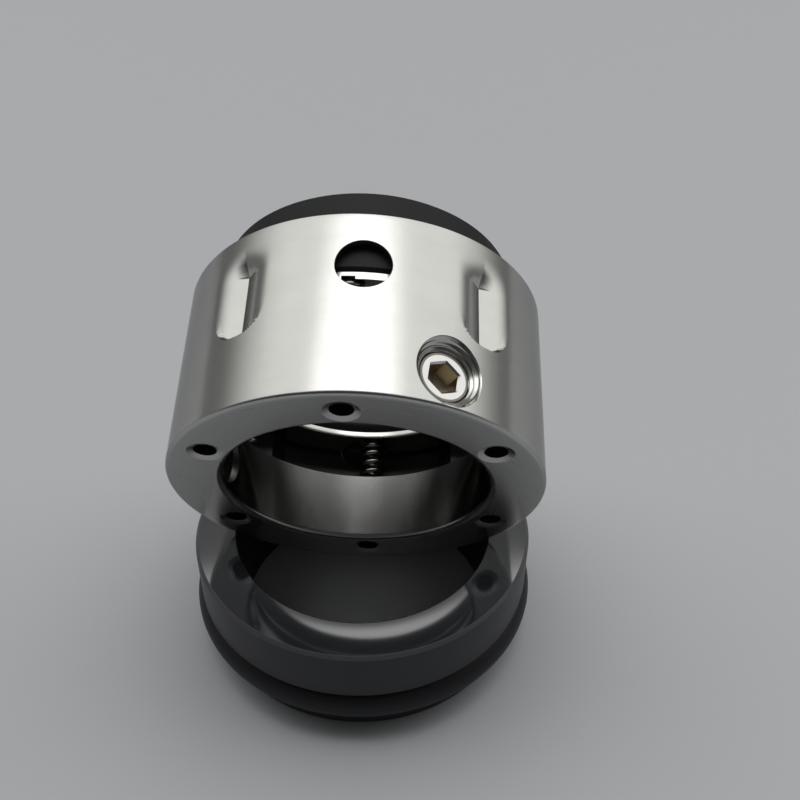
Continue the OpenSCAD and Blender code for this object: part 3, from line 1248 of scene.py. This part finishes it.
    def inner_place(self, turn: Array, height: Array) -> Array:
        """Returns points of the skirt's inside."""
        return polar(self.inner_radius(turn, height), turn, height)

    def inner_radius(self, turn: Array, height: Array) -> Array:
        """The skirt's inside: its radius, or a dent's back where that is less.

        Args:
            turn: angle
            height: place on the axis
        Returns:
            The radius.
        """
        sizes, dents = self.sizes, self.sizes.dents
        edge_r = sizes.skirt_in_r - dents.depth * dents.run_out(height)
        return np.minimum(sizes.skirt_in_r, dents.flank(edge_r, turn, dents.slope(sizes.shell_r)))

    def front_place(self, turn: Array, share: Array) -> Array:
        """Points of the drive end's face, whose radius runs from the bore's lip to the outer chamfer.

        Args:
            turn: angle
            share: share of the face's width
        Returns:
            The points.
        """
        sizes = self.sizes
        inside, outside = sizes.bore_r + self.bore_lip, sizes.shell_r - sizes.chamfer - self.front_edge
        return polar(inside + share * (outside - inside), turn, 0.0)

    def back_place(self, turn: Array, share: Array) -> Array:
        """Points of the drive ring's far face, whose outer edge the dents' backs bend.

        Args:
            turn: angle
            share: share of the face's width
        Returns:
            The points.
        """
        inside, height = self.sizes.bore_r + 2 * self.edge, self.sizes.drive_len
        outside = self.inner_radius(turn, np.array(height))
        return polar(inside + share * (outside - inside), turn, height)

    def window(self, outer: Wall, inner: Wall, turn: float) -> None:
        """A flushing window: a round hole through the skirt with its edges broken.

        Args:
            outer: the skirt's outside
            inner: the skirt's inside
            turn: the window's angle
        """
        sizes = self.sizes
        border, inner_border = (
            wall.open_cell(turn, self.window_cell, *self.window_levels()) for wall in (outer, inner)
        )
        hole = CrossHole.inside(border, turn, sizes.ring_z, sizes.shell_r)
        wide_r = self.window_r + self.edge
        broken = np.array([0.0, 0.0, self.edge])
        sleeve = [
            hole.ring(sizes.shell_r, wide_r),
            hole.ring(sizes.shell_r, self.window_r) - broken,
            hole.ring(sizes.skirt_in_r, self.window_r) + broken,
            hole.ring(sizes.skirt_in_r, wide_r),
        ]
        outer.work.add_placed(np.stack(sleeve), self.placing.spoke(turn, sizes.ring_z), SKIRT_STEEL)
        outer.patch(hole.edge(sizes.shell_r, wide_r), border)
        inner.patch(hole.edge(sizes.skirt_in_r, wide_r), inner_border)

    def screw_hole(self, outer: Wall, bore: Wall, turn: float) -> None:
        """A set screw's threaded hole with a countersink at both ends.

        The thread's grooves run on into the outer countersink and fade there.

        Args:
            outer: the shell's outside
            bore: the drive ring's bore
            turn: the hole's angle
        """
        sizes, thread, edge = self.sizes, self.thread, self.edge
        border = outer.open_cell(turn, self.screw_cell, outer.levels[0], self.screw_cell_top)
        bore_border = bore.open_cell(turn, self.screw_cell, bore.levels[0], bore.levels[-1])
        hole = CrossHole.inside(border, turn, sizes.screw_z, sizes.shell_r)
        bearing = hole.bearing
        out_sink = Countersink(self.hole_r, sizes.shell_r - self.sink, 1.0)
        in_sink = Countersink(self.hole_r, self.inner_sink_low, -self.inner_sink_slope)
        out_r, in_r = out_sink.meet(sizes.shell_r, bearing), in_sink.meet(sizes.bore_r, bearing)
        start = self.inner_sink_low + edge
        heights = np.minimum(thread.rows(bearing, start, sizes.shell_r), out_sink.height(out_r - edge))
        groove = thread.depth * np.clip((self.fade_top - heights) / self.fade_len, 0, 1)
        crest_r = np.maximum(thread.root_r + thread.room, out_sink.radius(heights))
        threads = polar(crest_r + groove * thread.ramp(bearing, heights), bearing, heights)
        drilled = [
            hole.ring(sizes.bore_r, in_r + edge),
            polar(in_r - edge, bearing, in_sink.height(in_r - edge)),
            polar(self.hole_r, bearing, start),
            threads[0],
        ]
        cut = [*threads, hole.ring(sizes.shell_r, out_r + edge)]
        placing = self.placing.spoke(turn, sizes.screw_z)
        # the drilled part of the hole carries painted shade
        for sleeve, finish in ((drilled, SHADE_PAINTED_DRILLED_STEEL), (cut, CUT_STEEL)):
            outer.work.add_placed(np.stack(sleeve), placing, finish)
        outer.patch(hole.edge(sizes.shell_r, out_r + edge), border)
        bore.patch(hole.edge(sizes.bore_r, in_r + edge), bore_border)

    def pocket(self, front: Wall, back: Wall, turn: float) -> None:
        """A spring's pocket, the hole from it to the drive end and that hole's countersink.

        Args:
            front: the drive end's face
            back: the drive ring's far face
            turn: the pocket's angle
        """
        sizes, edge = self.sizes, self.edge
        borders = [wall.open_cell(turn, self.pocket_cell, 0, 1) for wall in (front, back)]
        place = front.place(borders[0][:, 0] - turn, borders[0][:, 1])
        bearing = bearings(place[:, 0] - sizes.spring_circle_r, place[:, 1])
        sink_round, floor_round, mouth_round = self.pocket_rounds
        outline = round_corners([
            (self.end_sink_r + edge, 0, 0),
            (self.end_sink_r, 0, edge),
            (self.end_hole_r, self.end_sink_depth, sink_round),
            (self.end_hole_r, self.pocket_floor, edge),
            (self.pocket_r, self.pocket_floor, floor_round),
            (self.pocket_r, sizes.drive_len - edge, mouth_round),
            (self.pocket_r + edge, sizes.drive_len, 0),
        ], closed=False)
        sleeve = revolve(outline, bearing)
        sunk = int((outline[:, 1] < self.end_sink_depth).sum())
        hole = self.placing.beside(turn, sizes.spring_circle_r)
        front.work.add_placed(sleeve[:sunk], hole, FACED_STEEL)
        # the pocket and its hole carry painted shade
        front.work.add_placed(sleeve[sunk - 1:], hole, SHADE_PAINTED_DRILLED_STEEL)
        for wall, rim_r, border in zip((front, back), outline[[0, -1], 0], borders):
            wall.patch(self.face_edge(wall, rim_r, bearing, turn), border)

    def face_edge(self, wall: Wall, rim_r: float, bearing: Array, turn: float) -> Array:
        """A pocket's edge on a face as turns and shares of the face's width.

        Args:
            wall: the face
            rim_r: the hole's radius there
            bearing: angles round the hole
            turn: angle of the hole's axis
        Returns:
            Turns and shares.
        """
        angle = np.radians(bearing)
        out, along = self.sizes.spring_circle_r + rim_r * np.cos(angle), rim_r * np.sin(angle)
        off = np.degrees(np.arctan2(along, out))
        ends = wall.place(np.full(2, turn), np.array([0.0, 1.0]))
        inside, outside = np.linalg.norm(ends[:, :2], axis=1)
        return np.stack([turn + off, (np.hypot(out, along) - inside) / (outside - inside)], axis=-1)

    def rims(self, work: Patchwork, turns: Array) -> None:
        """The chamfers, the far rim and the retaining ring's groove, turned round the axis.

        Args:
            work: the shell's patches
            turns: angles of the grid's lines
        """
        sizes, edge, front_edge, rim = self.sizes, self.edge, self.front_edge, self.sizes.rim_chamfer
        shell_r, bore_r, skirt_in_r = sizes.shell_r, sizes.bore_r, sizes.skirt_in_r
        outer_low = [
            (shell_r - sizes.chamfer - front_edge, 0, 0),
            (shell_r - sizes.chamfer, 0, front_edge),
            (shell_r, sizes.chamfer, front_edge),
            (shell_r, sizes.chamfer + front_edge, 0),
        ]
        bore_low = [
            (bore_r + self.bore_lip, 0, 0),
            (bore_r + sizes.bore_chamfer, 0, self.bore_round),
            (bore_r, sizes.bore_chamfer, self.bore_round),
            (bore_r, self.bore_lip, 0),
        ]
        bore_high = [
            (bore_r, sizes.drive_len - 2 * edge, 0),
            (bore_r, sizes.drive_len, edge),
            (bore_r + 2 * edge, sizes.drive_len, 0),
        ]
        far = [
            (shell_r, sizes.shell_len - rim - edge, 0),
            (shell_r, sizes.shell_len - rim, edge),
            (shell_r - rim, sizes.shell_len, edge),
            (skirt_in_r + rim, sizes.shell_len, edge),
            (skirt_in_r, sizes.shell_len - rim, edge),
            (skirt_in_r, self.groove_high, edge),
            (self.groove_r, self.groove_high, edge),
            (self.groove_r, self.groove_low, edge),
            (skirt_in_r, self.groove_low, 0),
        ]
        finishes = (FACED_STEEL, FACED_STEEL, BORED_STEEL, SKIRT_STEEL)
        for corners, finish in zip((outer_low, bore_low, bore_high, far), finishes):
            work.add(revolve(round_corners(corners, closed=False), turns), finish)


@dataclass
class SealRing(Piece):
    """The carbon ring with the lapped running face, slotted for the dents.

    Attributes:
        sizes: the rotary unit's sizes
        nose_r, face_z: radius of its nose, and height of its running face
        chamfer: chamfers of its shoulder and its face
        chamber_r, chamber_z: radius and top of the shaft O-ring's chamber
        edge: how far a sharp edge is rounded
        turn_step: widest gap between grid lines
    """

    sizes: RotarySizes
    nose_r: float = 22.65
    face_z: float = 35.95
    chamfer: float = 0.6
    chamber_r: float = 22.15
    chamber_z: float = 22.7
    edge: float = 0.08
    turn_step: float = 1.5

    def surface(self) -> Patchwork:
        """The section turned round the axis, its radius held inside the slots.

        Returns:
            The ring's one patch.
        """
        sizes, chamfer = self.sizes, self.chamfer
        corners = [
            (self.chamber_r, sizes.ring_z),
            (sizes.slide_r - chamfer, sizes.ring_z),
            (sizes.slide_r, sizes.ring_z + chamfer),
            (sizes.slide_r, sizes.snap_z),
            (self.nose_r, sizes.snap_z),
            (self.nose_r, self.face_z - chamfer),
            (self.nose_r - chamfer, self.face_z),
            (sizes.ring_in_r + chamfer, self.face_z),
            (sizes.ring_in_r, self.face_z - chamfer),
            (sizes.ring_in_r, self.chamber_z),
            (self.chamber_r, self.chamber_z),
        ]
        outline = round_corners([(*corner, self.edge) for corner in corners])
        radius, height = outline[:, :1], outline[:, 1:]
        turns = sizes.turn_lines(self.turn_step, sizes.slide_r)
        slotted = np.minimum(radius, sizes.slot_radius(turns)[None, :])
        work = Patchwork(self.placing)
        work.add(polar(np.where(height <= sizes.snap_z, slotted, radius), turns[None, :], height), CARBON)
        return work


@dataclass
class ThrustDisc(Piece):
    """The steel disc between the springs and the seal ring, with a seat for each spring.

    Attributes:
        sizes: the rotary unit's sizes
        seat_r, seat_depth: a spring seat's radius and depth
        seat_cell: half the angle of a seat's cell
        edge: how far the bore's edges are rounded
        turn_step, face_rows: widest gap between grid lines, and rows across the face
    """

    sizes: RotarySizes
    seat_r: float = 2.7
    seat_depth: float = 0.5
    seat_cell: float = 9.0
    edge: float = 0.12
    turn_step: float = 1.2
    face_rows: int = 8

    def surface(self) -> Patchwork:
        """Two faces, a bore and a rim; the seats are round steps that open at the rim.

        Returns:
            The disc's patches.
        """
        sizes = self.sizes
        work = Patchwork(self.placing)
        halves = (self.seat_cell, self.rim_half_turn())
        sides = [turn + side * half for turn in sizes.spring_turns for side in (-1, 1) for half in halves]
        turns = sizes.turn_lines(self.turn_step, sizes.disc_r, sides)
        face = Wall(work, turns, np.linspace(0, 1, self.face_rows + 1), self.face_place, DISC_STEEL)
        rim_keep = np.ones((2, len(turns) - 1), bool)
        for turn in sizes.spring_turns:
            self.seat(face, turn)
            opened = self.in_opening(turns, turn)
            rim_keep[0, opened[:-1] & opened[1:]] = False
        face.add()
        rim_r, inside = self.rim_radius(turns), self.inside_radius()
        rim_z = np.array([[sizes.disc_z], [sizes.disc_z + self.seat_depth], [sizes.ring_z]])
        work.add(polar(rim_r, turns, rim_z), DISC_STEEL, rim_keep)
        work.add(polar(np.stack([rim_r, np.full_like(rim_r, inside)]), turns, sizes.ring_z), DISC_STEEL)
        bore = [
            (inside, sizes.ring_z, 0),
            (sizes.ring_in_r, sizes.ring_z, self.edge),
            (sizes.ring_in_r, sizes.disc_z, self.edge),
            (inside, sizes.disc_z, 0),
        ]
        work.add(revolve(round_corners(bore, closed=False), turns), DISC_STEEL)
        return work

    def inside_radius(self) -> float:
        """Returns the radius at which the flat faces begin."""
        return self.sizes.ring_in_r + self.edge

    def rim_radius(self, turn: Array) -> Array:
        """Returns the radius of the slotted rim."""
        return np.minimum(self.sizes.disc_r, self.sizes.slot_radius(turn))

    def face_place(self, turn: Array, share: Array) -> Array:
        """Returns points of the face to the springs, by a share of its width from its bore to its rim."""
        inside = self.inside_radius()
        return polar(inside + share * (self.rim_radius(turn) - inside), turn, self.sizes.disc_z)

    def rim_bearing(self) -> float:
        """Returns the bearing from a seat's middle at which it meets the rim, by the cosine rule."""
        disc_r, circle_r, seat_r = self.sizes.disc_r, self.sizes.spring_circle_r, self.seat_r
        return math.degrees(math.acos((disc_r**2 - circle_r**2 - seat_r**2) / (2 * circle_r * seat_r)))

    def rim_half_turn(self) -> float:
        """Returns half the angle of a seat's opening at the rim, by the sine rule."""
        across = self.seat_r * math.sin(math.radians(self.rim_bearing()))
        return math.degrees(math.asin(across / self.sizes.disc_r))

    def in_opening(self, turns: Array, turn: float) -> Array:
        """Returns which turns lie within the opening of the seat at a turn."""
        return np.abs(turns - turn) < self.rim_half_turn() + NEAR

    def seat(self, face: Wall, turn: float) -> None:
        """One spring's seat.

        The face is carried from the seat's arc out to the cell's sides, the step drops along the arc,
        and the floor is two fans from the seat's middle, to the arc and to the rim.

        Args:
            face: the face that the seat is cut into
            turn: the seat's angle
        """
        sizes = self.sizes
        border = face.open_cell(turn, self.seat_cell, 0, 1)
        last, first = (
            int(np.argmin(np.hypot(border[:-1, 0] - turn - side * self.seat_cell, border[:-1, 1] - 1)))
            for side in (1, -1)
        )
        path = np.concatenate([border[:last + 1][::-1], border[first:-1][::-1]])
        bearing = np.radians(np.linspace(self.rim_bearing(), TURN - self.rim_bearing(), len(path)))
        out, along = sizes.spring_circle_r + self.seat_r * np.cos(bearing), self.seat_r * np.sin(bearing)
        arc_turn, arc_r = turn + np.degrees(np.arctan2(along, out)), np.hypot(out, along)
        inside = self.inside_radius()
        arc = np.stack([arc_turn, (arc_r - inside) / (sizes.disc_r - inside)], axis=-1)
        off = face.turns - turn
        beside = (off > self.rim_half_turn() - NEAR) & (off < self.seat_cell + NEAR)
        spots = arc + (path - arc) * np.linspace(0, 1, int(beside.sum()))[:, None, None]
        face.work.add(face.place(spots[..., 0], spots[..., 1]), DISC_STEEL)
        floor_z = sizes.disc_z + self.seat_depth
        face.work.add(polar(arc_r, arc_turn, np.array([[sizes.disc_z], [floor_z]])), DISC_STEEL)
        rim_turn = face.turns[self.in_opening(face.turns, turn)]
        for radius, angle in ((arc_r, arc_turn), (sizes.disc_r, rim_turn)):
            middle = polar(sizes.spring_circle_r, np.full(len(angle), turn), floor_z)
            face.work.add(np.stack([polar(radius, angle, floor_z), middle]), DISC_STEEL)


@dataclass
class RetainingRing(Piece):
    """The open flat ring that holds the seal ring in the skirt.

    Attributes:
        sizes: the rotary unit's sizes
        out_r, width, thickness: its outside, and its section
        gap: angle of its opening
        edge: how far its edges are broken
        steps: quads round it
    """

    sizes: RotarySizes
    out_r: float = 26.5
    width: float = 2.4
    thickness: float = 1.2
    gap: float = 24.0
    edge: float = 0.08
    steps: int = 224

    def surface(self) -> Patchwork:
        """A rectangle with broken edges carried round to the gap, its ends closed to the rectangle's middle.

        Returns:
            The ring's one patch.
        """
        low, high = self.sizes.snap_z, self.sizes.snap_z + self.thickness
        in_r, out_r = self.out_r - self.width, self.out_r
        corners = [(in_r, low), (out_r, low), (out_r, high), (in_r, high)]
        outline = round_corners([(*corner, self.edge) for corner in corners])
        middle = np.array([[(in_r + out_r) / 2, (low + high) / 2]])
        start = self.sizes.window_turns[1] + self.gap / 2
        turns = np.linspace(start, start + TURN - self.gap, self.steps + 1)
        ends = revolve(np.repeat(middle, len(outline), axis=0), turns[[0, -1]])
        work = Patchwork(self.placing)
        work.add(np.concatenate([ends[:, :1], revolve(outline, turns), ends[:, 1:]], axis=1), DISC_STEEL)
        return work


@dataclass
class ORing(Piece):
    """A rubber ring of round section.

    Attributes:
        middle_r: radius of the section's middle
        section: the section's width
        height: height of the section's middle
        section_steps, turn_steps: quads round the section and round the ring
    """

    middle_r: float
    section: float
    height: float
    section_steps: int = 48
    turn_steps: int = 192

    def surface(self) -> Patchwork:
        """A circle carried round the axis.

        Returns:
            The ring's one patch.
        """
        circle = polar(self.section / 2, np.linspace(0, TURN, self.section_steps + 1), 0.0)[:, :2]
        outline = circle + [self.middle_r, self.height]
        work = Patchwork(self.placing)
        work.add(revolve(outline, np.linspace(0, TURN, self.turn_steps + 1)), RUBBER)
        return work


@dataclass
class Spring(Piece):
    """A compression spring with a closed coil at each end.

    Attributes:
        outside_d, wire, length: its outside, its wire and its length at rest
        coils: working coils
        start_z: height of its first end
        travel: how far it is squashed
        closed_pitch: rise of a closed coil in wires
        path_steps, wire_steps: quads along the wire and round it
    """

    outside_d: float = 4.2
    wire: float = 0.85
    length: float = 14.9
    coils: float = 7.2
    start_z: float = 4.05
    travel: float = 3.0
    closed_pitch: float = 1.04
    path_steps: int = 420
    wire_steps: int = 18

    def surface(self) -> Patchwork:
        """A circle carried along a helix.

        The helix climbs slowly over the closed end coils and evenly over the working ones. The wire's
        circle stands square to the path, on its outward and upward directions. Both ends are closed
        to the wire's middle.

        Returns:
            The spring's one patch.
        """
        top, end_rise = self.length - self.wire, self.wire * self.closed_pitch
        turns = np.linspace(0, self.coils + 2, self.path_steps + 1)
        rise = np.interp(turns, [0, 1, 1 + self.coils, 2 + self.coils], [0, end_rise, top - end_rise, top])
        coil_r = (self.outside_d - self.wire) / 2
        path = polar(coil_r, turns * TURN, self.start_z + self.wire / 2 + rise)
        out = polar(1.0, turns * TURN, 0.0)
        along = np.gradient(path, axis=0)
        up = np.cross(out, along / np.linalg.norm(along, axis=1, keepdims=True))
        around = np.radians(np.linspace(0, TURN, self.wire_steps + 1))[None, :, None]
        tube = path[:, None] + self.wire / 2 * (np.cos(around) * out[:, None] + np.sin(around) * up[:, None])
        ends = np.repeat(path[[0, -1], None], tube.shape[1], axis=1)
        work = Patchwork(self.placing)
        # the wire carries painted shade
        work.add(np.concatenate([ends[:1], tube, ends[1:]]), SHADE_PAINTED_SPRING_WIRE)
        return work

    def build(self) -> bpy.types.Object:
        """Makes the spring, and gives its object a mesh of its own.

        Returns:
            The object.
        """
        made = super().build()
        floor = self.placing.to_frame(np.array([0.0, 0.0, self.start_z]))
        1 - self.travel / self.length
        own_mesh(made)
        return made


@dataclass
class SetScrew(Piece):
    """A set screw with a cup point and a hexagon socket.

    Attributes:
        sizes: the rotary unit's sizes
        thread: its thread
        corner_turn: angle of a corner of its socket
        length, body_r: its length, and its radius where the chamfers begin
        point_chamfer, head_chamfer: chamfers at its point and its head
        cup_r, cup_depth: the cup in its point
        socket_w, socket_depth: the hexagon's width across flats, and its depth
        ledge: share of the hexagon at which the socket's drilled point begins
        point_depth: depth of that point
        mouth: chamfer of the socket's mouth
        face_r: outside of the bright face
        columns: quads round it
    """

    sizes: RotarySizes
    thread: Thread
    corner_turn: float
    length: float = 6.0
    body_r: float = 3.9
    point_chamfer: float = 2 / 3
    head_chamfer: float = 0.45
    cup_r: float = 2.0
    cup_depth: float = 0.8
    socket_w: float = 4.0
    socket_depth: float = 3.0
    ledge: float = 0.8
    point_depth: float = 0.6
    mouth: float = 0.26
    face_r: float = 3.15
    columns: int = 96

    def surface(self) -> Patchwork:
        """Rings from the cup's middle over the thread and the top face down to the socket's drilled point.

        The hexagon's radius is half its width over the cosine of the angle from the nearest flat's middle.

        Returns:
            The screw's patches.
        """
        low = self.sizes.screw_in_r
        high = low + self.length
        floor, mouth_z = high - self.socket_depth, high - self.mouth
        around = np.linspace(0, TURN, self.columns + 1)
        bearing = self.corner_turn + around
        hexagon = self.socket_w / 2 / np.cos(np.radians(np.mod(around, TURN / 6) - TURN / 12))
        heights = self.thread.rows(bearing, low, high)
        to_ends = np.minimum(heights - low - self.point_chamfer, high - heights - self.head_chamfer)
        body = np.minimum(self.thread.radius(bearing, heights), self.body_r + to_ends)
        side = [
            polar(0.0, bearing, low + self.cup_depth),
            polar(self.cup_r, bearing, low),
            *polar(body, bearing, heights),
            polar(self.face_r, bearing, high),
        ]
        face = [side[-1], polar(hexagon + self.mouth, bearing, high), polar(hexagon, bearing, mouth_z)]
        socket = [
            face[-1],
            polar(hexagon, bearing, floor),
            polar(self.ledge * hexagon, bearing, floor),
            polar(0.0, bearing, floor - self.point_depth),
        ]
        work = Patchwork(self.placing)
        # the threaded side carries painted shade
        for rings, finish in ((side, SHADE_PAINTED_THREAD_STEEL), (face, SCREW_STEEL), (socket, SOCKET_STEEL)):
            work.add(np.stack(rings), finish)
        return work


@dataclass
class SeatRing(Piece):
    """The seat: a nose with the lapped face, an O-ring groove and a lip.

    Attributes:
        bore_r, nose_r, height: its bore, its outside and its height
        groove_r, groove_top: floor and upper side of the O-ring's groove
        lip_r, lip_top: radius and top of the lip under the groove
        chamfer, bore_chamfer: chamfers outside and in the bore
        edge: how far a sharp edge is rounded
        steps: quads round it
    """

    bore_r: float = 20.25
    nose_r: float = 26.8
    height: float = 18.3
    groove_r: float = 22.3
    groove_top: float = 9.7
    lip_r: float = 24.9
    lip_top: float = 3.5
    chamfer: float = 0.45
    bore_chamfer: float = 0.2
    edge: float = 0.06
    steps: int = 240

    def surface(self) -> Patchwork:
        """The section turned round the seat's axis, in three runs: body, broken edge and lapped face. The
        broken edge is painted lighter than the body, partly its own ground grey and partly a painted
        highlight.

        Returns:
            The seat's patches.
        """
        chamfer, bore_chamfer, edge, height = self.chamfer, self.bore_chamfer, self.edge, self.height
        inside, outside = self.bore_r + bore_chamfer + edge, self.nose_r - chamfer - edge
        body = round_corners([
            (inside, height, 0),
            (self.bore_r + bore_chamfer, height, edge),
            (self.bore_r, height - bore_chamfer, edge),
            (self.bore_r, bore_chamfer, edge),
            (self.bore_r + bore_chamfer, 0, edge),
            (self.lip_r - chamfer, 0, edge),
            (self.lip_r, chamfer, edge),
            (self.lip_r, self.lip_top, 2 * edge),
            (self.groove_r, self.lip_top, 2 * edge),
            (self.groove_r, self.groove_top, 2 * edge),
            (self.nose_r, self.groove_top, 2 * edge),
            (self.nose_r, height - chamfer - edge, 0),
        ], closed=False)
        broken = round_corners([
            (self.nose_r, height - chamfer - edge, 0),
            (self.nose_r, height - chamfer, edge),
            (self.nose_r - chamfer, height, edge),
            (outside, height, 0),
        ], closed=False)
        face = np.array([[outside, height], [(inside + outside) / 2, height], [inside, height]])
        turns = np.linspace(0, TURN, self.steps + 1)
        work = Patchwork(self.placing)
        for outline, finish in ((body, GROUND), (broken, EDGE_GREY_AND_HIGHLIGHT), (face, LAPPED)):
            work.add(revolve(outline, turns), finish)
        return work


@dataclass(frozen=True)
class Studio:
    """The floor, the soft light and the camera.

    The sky's light goes by a direction's unit vector: across to the right, ahead from the camera, and up.

    Attributes:
        floor_half: half the floor's side in metres
        floor_colour, floor_roughness, floor_sheen: the pale floor
        rise: strength of the light from the horizon to overhead
        lean: how much the right side is ahead in that rise
        glow: light that is added straight overhead
        middle: 1 in the middle of the sky, 0 at its sides, by the distance across
        front, front_up: how far the sky at the camera's side is dimmed, and from which height on
        back, back_up: how far the sky behind the object is dimmed in the middle, up to a height
        high: where the sides of the front sky get their light back
        camera_place: the camera in millimetres
        elevation, azimuth, roll: the camera's angles
        focal_px, picture_px: focal length and width of the photo, in pixels
        sensor, near_clip: the sensor's width in millimetres, and the nearest place seen in metres
    """

    floor_half: float = 3.0
    floor_colour: Colour = (0.58, 0.593, 0.61)
    floor_roughness: float = 0.7
    floor_sheen: float = 0.2
    rise: Ease = Ease(0.12, 0.72, 0.26, 1.55)
    lean: float = 0.07
    glow: Ease = Ease(0.87, 0.985, 0.0, 1.9)
    middle: Ease = Ease(0.3, 0.55, 1.0, 0.0)
    front: Ease = Ease(-0.2, 0.08, 0.94, 0.0)
    front_up: Ease = Ease(0.1, 0.25, 0.0, 1.0)
    back: Ease = Ease(0.4, 0.6, 0.0, 1.0)
    back_up: Ease = Ease(0.715, 0.755, 0.82, 0.0)
    high: Ease = Ease(0.8, 0.9, 0.0, 1.0)
    camera_place: Point = (9.07, -111.01, 129.42)
    elevation: float = 37.67
    azimuth: float = 1.63
    roll: float = 0.32
    focal_px: float = 960.58
    picture_px: float = 800.0
    sensor: float = 36.0
    near_clip: float = 0.005

    def build(self) -> None:
        """Sets the whole stage up."""
        self.floor()
        self.sky()
        self.camera()
        bpy.context.scene.view_settings.view_transform = "Standard"

    def floor(self) -> None:
        """Lays a flat pale floor under the seat."""
        half = self.floor_half
        data = bpy.data.meshes.new("floor")
        corners = [(-half, -half, 0), (half, -half, 0), (half, half, 0), (-half, half, 0)]
        data.from_pydata(corners, [], [(0, 1, 2, 3)])
        paper = bpy.data.materials.new("floor_paper")
        paper.use_nodes = True
        shader = Shader(paper.node_tree)
        surface = shader.surface(
            Base_Color=(*self.floor_colour, 1.0),
            Roughness=self.floor_roughness,
            Specular_IOR_Level=self.floor_sheen,
        )
        shader.add("ShaderNodeOutputMaterial", inputs={"Surface": surface.outputs[0]})
        data.materials.append(paper)
        made = bpy.data.objects.new("floor", data)
        bpy.context.scene.collection.objects.link(made)

    def sky(self) -> None:
        """Puts a soft light all round.

        It is bright overhead and dim at the horizon. It is dimmed at the camera's side, but for the sides
        high up, and dimmed low behind the object, which gives the steel the dark bands of a studio.
        """
        world = bpy.data.worlds.new("soft_sky")
        world.use_nodes = True
        bpy.context.scene.world = world
        shader = Shader(world.node_tree)
        across, ahead, up = shader.parts(shader.add("ShaderNodeTexCoord").outputs["Generated"])
        light = shader.ramp(up + self.lean * across, self.rise) + shader.ramp(up, self.glow)
        middle = shader.ramp(abs(across), self.middle)
        front = shader.ramp(ahead, self.front) * shader.ramp(up, self.front_up)
        back = shader.ramp(ahead, self.back) * shader.ramp(up, self.back_up)
        spared = shader.ramp(up, self.high) * (1.0 - middle)
        strength = light * (1.0 - front * (1.0 - spared)) * (1.0 - middle * back)
        background = shader.add("ShaderNodeBackground", inputs={"Strength": strength})
        shader.add("ShaderNodeOutputWorld", inputs={"Surface": background.outputs[0]})

    def camera(self) -> None:
        """Sets up the photo's camera, from its place, its angles and its focal length."""
        elevation, azimuth = math.radians(self.elevation), math.radians(self.azimuth)
        level, drop = math.cos(elevation), math.sin(elevation)
        ahead = Vector((-math.sin(azimuth) * level, math.cos(azimuth) * level, -drop))
        right = Vector((math.cos(azimuth), math.sin(azimuth), 0))
        unrolled = Matrix((right, right.cross(ahead), -ahead)).transposed()
        turned = unrolled.to_4x4() @ Matrix.Rotation(math.radians(self.roll), 4, "Z")
        data = bpy.data.cameras.new("photo_camera")
        data.sensor_width = self.sensor
        data.lens = self.focal_px / self.picture_px * self.sensor
        data.clip_start = self.near_clip
        made = bpy.data.objects.new("photo_camera", data)
        made.matrix_world = Matrix.Translation(Vector(self.camera_place) * MM) @ turned
        bpy.context.scene.collection.objects.link(made)
        bpy.context.scene.camera = made


def rotary_placing(sizes: RotarySizes) -> Placing:
    """Finds the rotary unit's axis from the record's shaft bore.

    Args:
        sizes: the rotary unit's sizes
    Returns:
        The placing: origin at the drive end, x on the unit's upper side.
    """
    bore = next(mount for mount in frame["record"]["mounts"] if mount["name"] == "shaft_bore")
    axis = np.array(bore["axis"]) / np.linalg.norm(bore["axis"])
    origin = np.array(bore["pos_m"]) / MM - sizes.screw_z * axis
    up = np.array([0.0, 0.0, 1.0]) - axis[2] * axis
    return Placing(tuple(origin), tuple(axis), tuple(up / np.linalg.norm(up)))


def seal_pieces() -> list[Piece]:
    """Lists every piece of the seal, from the shell inwards and then the seat.

    Returns:
        The pieces.
    """
    sizes, thread = RotarySizes(), Thread()
    rotary = rotary_placing(sizes)
    table = Placing((0.0, 0.0, 0.0), (0.0, 0.0, 1.0), (1.0, 0.0, 0.0))
    fixed, floating = "seat_and_shell", "face_unit"
    pieces: list[Piece] = [
        Shell("shell", fixed, "stainless", rotary, sizes, thread),
        RetainingRing("retaining_ring", fixed, "spring_steel", rotary, sizes),
        ThrustDisc("thrust_disc", floating, "stainless", rotary, sizes),
        SealRing("seal_ring", floating, "carbon", rotary, sizes),
        ORing("shaft_o_ring", floating, "elastomer", rotary, middle_r=20.6, section=2.9, height=21.15),
    ]
    for number, turn in enumerate(sizes.spring_turns, 1):
        place = rotary.beside(turn, sizes.spring_circle_r)
        pieces.append(Spring(f"spring_{number}", fixed, "spring_steel", place))
    for number, (turn, corner) in enumerate(zip(sizes.screw_turns, sizes.socket_turns), 1):
        name, place = f"set_screw_{number}", rotary.spoke(turn, sizes.screw_z)
        pieces.append(SetScrew(name, name, "screw_steel", place, sizes, thread, corner))
    pieces.append(SeatRing("seat_ring", fixed, "lapped_ceramic", table))
    pieces.append(ORing("seat_o_ring", fixed, "elastomer", table, middle_r=25.0, section=5.3, height=6.6))
    return pieces


def main() -> None:
    """Builds the pieces and the stage."""
    logging.basicConfig(level=logging.INFO, format="%(message)s")
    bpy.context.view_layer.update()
    for piece in seal_pieces():
        made = piece.build()
        log.info("%s: %d faces", made.name, len(made.data.polygons))
    Studio().build()


if __name__ == "__main__":
    main()
